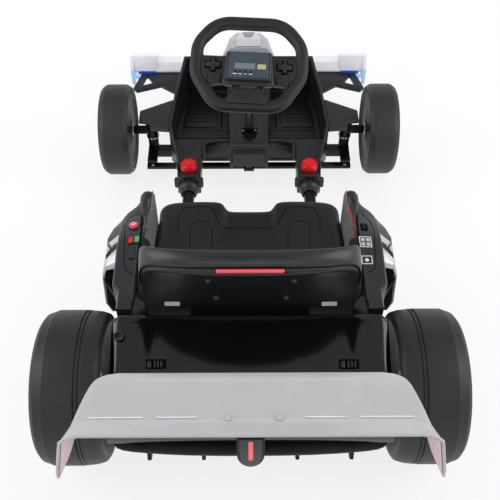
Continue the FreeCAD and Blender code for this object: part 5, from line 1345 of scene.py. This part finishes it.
wells, keys = [], []
for x in (-76, 76):
    here = shift(x, -3, COLUMN_TOP + 21)
    wells.append(placed(cross(35, 32, 9, 6.5, -1, 1.0, 0.4), here))
    keys.append(placed(cross(30, 27, 5.6, 3.6, 0, 4.2, 1.0), here))
# Dark crosses a little larger than the keys: painted shade in the gap round each key.
on_wheel("steering_button_well_shade", "black_screen_and_painted_shade", *wells)
on_wheel("steering_buttons", "abs_satin_grey", *keys)
# Dark rods on the thumb grips: painted shade in their creases.
painted_crease_lines = [rod([(s * x * MM, y * MM, (COLUMN_TOP + 24) * MM) for x, y in ((87, -24), (86.5, -34), (86, -44))],
               0.9) for s in (-1, 1)]
on_wheel("steering_grip_creases", "black_screen_and_painted_shade", *painted_crease_lines)
print("button clusters done")

# %% [markdown]
# The display stands on the crossbar: a dark housing with sloping sides, a slate blue face, a pale liquid
# crystal window, one pale key and four small keys with marks under them. The maker's sign and all words are
# left off.

# %% Display
FACE = COLUMN_TOP + 46
hood = rounded([(-54, -40), (-48, 22), (48, 22), (54, -40)], 8)
chin = rounded([(-52, -51), (52, -51), (57, -34), (-57, -34)], 6)
housing = joined(plate([hood], COLUMN_TOP + 18, COLUMN_TOP + 32, 3, 3),
                 tile(-48, 48, -44, 19, 6, COLUMN_TOP + 30, FACE - 1, 2.5, 3),
                 plate([chin], COLUMN_TOP + 20, COLUMN_TOP + 34, 3, 3))
on_wheel("display_housing", "abs_dark_grey", housing, node="steering_display")
on_wheel("display_face", "acrylic_slate", tile(-41, 41, -41, 16, 3, FACE - 3, FACE, 0.8))
on_wheel("display_window", "liquid_crystal", tile(-29, 14, -21, -8, 1.5, FACE - 0.4, FACE + 0.5, 0.3))
on_wheel("display_key", "silicone_cream", tile(18, 36, -21, -10, 2, FACE - 0.4, FACE + 2.2, 0.8))
dots = [plate([oval(2.6, across=x, high=-27, steps=16)], FACE - 0.4, FACE + 1.4, 0.5)
        for x in (-27, -17, -6, 5)]
marks = [tile(x - w, x + w, -33, -31.4, 0.6, FACE - 0.3, FACE + 0.3, 0.1)
         for x, w in ((-28, 4), (-17, 3), (-6, 1.6), (5, 3.4))]
on_wheel("display_small_keys", "abs_piano_black", *dots)
on_wheel("display_marks", "enamel_white", *marks)
sticks = [plate([rounded([(s * 24, -38), (s * 29, -38), (s * 21, -66), (s * 16, -66)], 1.5)],
                COLUMN_TOP + 14, COLUMN_TOP + 27, 1.2) for s in (-1, 1)]
on_wheel("display_struts", "polypropylene_satin", *sticks)
sleeve = placed(standing([(0, 9.05), (0, 11.5), (70, 10.5), (70, 9.05)], 36), shift(0, 0, 60), COLUMN)
piece("column_sleeve", sleeve, "polypropylene_satin", body="steering")
print("display done")

# %% [markdown]
# The front tub is one deep moulding: two footwells with ribbed foot panels, a tunnel between them, and two
# necks that reach back to the rails. The solid carries the walls. The panels' frames, ribs and steps are
# drawn on it as dark lines of painted shade and its screws laid on it, where the picture shows the left
# half, and then mirrored, because the mould is the same on both sides.

# %% Front tub
tub = dress("front_tub", "polypropylene_fine", 3.0, 3)
on_tub = surfaces(tub)
FRAMES_SEEN = (([(189, 97), (183.5, 124), (186, 127.5), (214, 127.5), (217, 124), (218, 97)], 1.0),
               ([(187, 89), (187, 60), (190, 56.5), (204, 56.5), (204, 89)], 1.2))
RIBS_SEEN = [[(191 - 0.35 * k, 101 + 3.4 * k), (212, 101 + 3.4 * k)] for k in range(7)]
LEDGES_SEEN = (([(180, 131), (231, 131)], 1.2), ([(175, 138.5), (233, 138.5)], 1.2),
               ([(188, 91.5), (206, 91.5)], 1.3))
SCREWS_SEEN = [(189, 114), (188.5, 121.5), (215.5, 115), (216.5, 121)]
INSETS_SEEN = ([(205.5, 145.5), (230.5, 145.5), (230.5, 156.5), (205.5, 156.5)],
               [(189, 59), (203, 59), (203, 87), (189, 87)])
# The frames are dark lines: painted shade in the grooves round the foot panels.
frames = joined(*[line_on(on_tub, dots, radius) for dots, radius in FRAMES_SEEN])
piece("foot_panel_groove_shade", both(frames), "black_screen_and_painted_shade")
# The ribs and ledges are dark lines too: painted shade along the ribs and under the steps.
ribs = [line_on(on_tub, dots, 1.1, False) for dots in RIBS_SEEN]
ledges = [line_on(on_tub, dots, radius, False) for dots, radius in LEDGES_SEEN]
piece("foot_panel_rib_shade", both(*ribs, *ledges), "black_screen_and_painted_shade")
screw = plate([oval(3.2, 16)], -0.5, 1.0, 0.4)
screws = studs_on(on_tub, SCREWS_SEEN, screw)
piece("foot_panel_screws", both(screws), "abs_piano_black")
insets = joined(*[patch_on(on_tub, dots, 0.8, 0.0) for dots in INSETS_SEEN])
piece("tub_inset_panels", both(insets), "polypropylene_satin")
print("footwells done")

# %% Tunnel
BEADS_SEEN = (([(238.5, 116), (240.5, 143)], 1.3), ([(240.5, 143), (258, 143)], 1.3),
              ([(258.3, 143), (260.5, 116)], 1.3), ([(235, 153), (265, 153)], 1.1))
ARCH_SEEN = [(242.3, 128), (242.5, 134), (245, 138.5), (249.8, 140), (254.6, 138.5), (257, 134), (257.2, 128)]
BRIGHT_SCREWS_SEEN = [(243, 131), (255.5, 130.5)]
beads = [line_on(on_tub, dots, radius, False) for dots, radius in BEADS_SEEN]
piece("tunnel_beads", joined(*beads), "abs_satin_grey")
# A dark patch and a dark rim line: painted shade in the opening where the column goes down.
slot = joined(line_on(on_tub, ARCH_SEEN, 1.2, False), patch_on(on_tub, ARCH_SEEN))
piece("column_slot_shade", slot, "black_screen_and_painted_shade")
bright = plate([oval(2.6, 20)], -0.5, 1.8, 0.7)
piece("tunnel_screws", studs_on(on_tub, BRIGHT_SCREWS_SEEN, bright), "zinc_plated_steel")
box_rows = [[spot(x, y, z) for x, z in ((-w, 74), (-w, h - 6), (-w + 5, h), (w - 5, h), (w, h - 6), (w, 74))]
            for y, w, h in ((716, 46, 124), (704, 45, 122), (696, 41, 117))]
piece("tunnel_box", skin(box_rows, loop=True, ends=True), "polypropylene_fine")
boot = placed(standing([(-30, 12.4), (26, 12.4, 2), (20, 15, 2), (4, 20, 8), (-6, 33, 4), (-30, 36)], 48, 4),
              COLUMN)
piece("column_boot", boot, "polypropylene_satin")
print("tunnel done")

# %% [markdown]
# Two red hand screws on the necks lock the rails, and a flange with two ears closes each neck. The red cap
# is polished polycarbonate with two finger dimples, so it takes the sharpest highlights on the kart.

# %% Knobs and collars
for side, _ in SIDES:
    knob_box = edges_of(f"rail_knob_{side}")
    kx, ky = (knob_box[0] + knob_box[1]) / 2, (knob_box[2] + knob_box[3]) / 2
    low, high = knob_box[4], knob_box[5]
    cap = turned([(low, 0.4), (low, 16), (low + 4, 19.6, 1.5), (low + 14, 20.4, 3), (high - 1, 18.4, 5),
                  (high + 3, 10, 5), (high + 2.6, 0.4, 1)], 64, 4)
    cap = placed(cap, UPRIGHT, at(kx, ky, 0))
    piece(f"rail_knob_{side}_cap", cap, "polycarbonate_red", f"rail_knob_{side}", angle=60)
    dimples = [placed(standing([(high + 1.4, 0.2), (high + 2.9, 0.2), (high + 2.9, 2.6), (high + 1.4, 2.6)],
                               20), at(kx + dx, ky + 4, 0)) for dx in (-5, 5)]
    piece(f"rail_knob_{side}_dimples", joined(*dimples), "polycarbonate_red")
    box = edges_of(f"rail_collar_{side}")
    cx, cz = (box[0] + box[1]) / 2, (box[4] + box[5]) / 2
    to_rear = facing_back(cx, box[3] + 8, cz + 10)
    flange = rounded([(-36, -13, 6), (-36, 13, 6), (-27, 15, 4), (-24, 27, 8), (24, 27, 8), (27, 15, 4),
                      (36, 13, 6), (36, -13, 6), (27, -15, 4), (20, -33, 12), (-20, -33, 12), (-27, -15, 4)])
    flange_mesh = placed(plate([flange, oval(14.5, 40)], 0, 12, 2.4, 3), to_rear)
    clamp = placed(turned([(0, 14.5), (0, 27, 2), (14, 26, 4), (22, 21, 3), (30, 20, 3), (32, 18, 1),
                           (32, 14.5)], 48, 4), Matrix.Rotation(math.radians(-90), 4, "Z"),
                   at(cx, box[3], cz))
    ribs = [placed(tile(-2, 2, 0, 24, 1, 11, 20, 0.8), Matrix.Rotation(a, 4, "Z"), to_rear)
            for a in (0.6, -0.6, 2.5, -2.5)]
    piece(f"rail_collar_{side}_clamp", joined(flange_mesh, clamp, *ribs), "polypropylene_satin",
          f"rail_collar_{side}")
print("knobs and collars done")

# %% [markdown]
# The front axle carries the two knuckles. Each is a black sleeve with a zinc ring and a grease cap, an arm
# below that reaches back to the tie bar, and a bright spindle out to the wheel.

# %% Knuckles and links
KINGPIN = 255
SPINDLE_SHOULDER = 288
TIE_BACK = 58
for side, sign in SIDES:
    box = edges_of(f"knuckle_{side}")
    body = f"knuckle_{side}"
    dress(f"knuckle_{side}", "powder_coated_steel", 1.2)
    here = at(sign * KINGPIN, FRONT_AXLE, 0)
    bushes = [placed(standing([(z, 11), (z, 16), (z + tall, 16), (z + tall, 11)], 40, 3), here)
              for z, tall in ((box[4] + 14, 9), (box[5] - 34, 10))]
    piece(f"knuckle_bush_{side}", joined(*bushes), "polypropylene_satin", body=body)
    zinc = placed(standing([(96, 11), (96, 16.4), (101, 16.4), (101, 11)], 40), here)
    piece(f"knuckle_ring_{side}", zinc, "zinc_plated_steel", body=body)
    collar = turned([(0, 8), (0, 9.8), (5, 11), (12, 9.4), (12, 8)], 32, 3)
    collar = placed(sided(placed(collar, shift(SPINDLE_SHOULDER, 0, 0)), sign), FRONT_HUB)
    piece(f"spindle_collar_{side}", collar, "zinc_plated_steel", body=body)
tie = edges_of("tie_bar")
nuts = [placed(plate([hexagon(7)], 0, 4.4, 0.7), at(x, FRONT_AXLE - TIE_BACK, tie[5]))
        for x in (-KINGPIN, KINGPIN)]
piece("tie_bar_nuts", joined(*nuts), "zinc_plated_steel", body="tie_bar")
print("links done")

# %% [markdown]
# Nose and front wing are pale mouldings in the same frosted grey white as the rear wing. The nose carries
# foils in two greys. The wing's raised ends hold blue diodes, and where their light spills over the edges
# the pale blue is painted on as a glowing patch.

# %% Nose and front wing
nose = dress("nose_cone", "polypropylene_pale", 3.0, 3)
dress("front_wing", "polypropylene_white", 2.4, 3)
# The solid's flanks stand upright; the real nose narrows upward, so the copy's upper corners are drawn in.
for vertex in nose.data.vertices:
    rise = (nose.matrix_world @ vertex.co).z / MM
    vertex.co.x *= 1 - 0.2 * ease(rise, 110, 200)
for name, lift, rows, finish in (
        ("nose_foil", 2.0, [(1003, 34, 226.6), (1031, 34, 226.8), (1051, 33, 220), (1082, 26, 209.6),
                            (1110, 18, 198.6)], "polyester_foil_silver"),
        ("nose_foil_grey", 2.8, [(1060, 8, 217.4), (1084, 14, 209.6), (1104, 16, 201.4)],
         "polyester_foil_grey")):
    sheet = [[spot(half * k / 3, y, z + lift) for k in range(-3, 4)] for y, half, z in rows]
    piece(name, skin(sheet, thick=0.5), finish)
fascia = edges_of("front_wing")[2]
# Glowing pale blue tiles on the wing's rear face: painted light from the diodes, spilled over the edges.
glow = [placed(tile(*sides, 3, 0, 2), facing_back(0, fascia + 1, 0))
        for sides in ((262, 326, 80, 95), (327, 338, 61, 112))]
piece("front_wing_painted_light_spill", both(*glow), "painted_blue_light_spill")
navy = [placed(tile(s * 291 - 26, s * 291 + 26, -4, 5, 2, 0, 5, 1), facing_back(0, fascia + 6.5, 99))
        for s in (-1, 1)]
piece("front_wing_diodes", joined(*navy), "acrylic_navy")
print("nose and wing done")

# %% Stays and shields
for side, _ in SIDES:
    dress(f"wing_stay_{side}", "polypropylene_charcoal", 2.0)
    dress(f"axle_shield_{side}", "polypropylene_charcoal", 3.0, 3)
print("stays done")

# %% Parts whose solids have the right form
PLAIN_PARTS = {
    "front_axle_beam": ("powder_coated_steel", 1.0), "rear_frame": ("powder_coated_steel", 1.5),
    "battery_block": ("polypropylene_satin", 2.0), "steering_column": ("powder_coated_steel", 0.5),
    "tie_bar": ("powder_coated_steel", 1.0), "rear_axle": ("zinc_plated_steel", 0.5),
    "rail_left": ("powder_coated_steel", 1.0), "rail_right": ("powder_coated_steel", 1.0),
    "drive_unit_left": ("polypropylene_satin", 2.0), "drive_unit_right": ("polypropylene_satin", 2.0),
}
for node, finish in PLAIN_PARTS.items():
    dress(node, *finish)
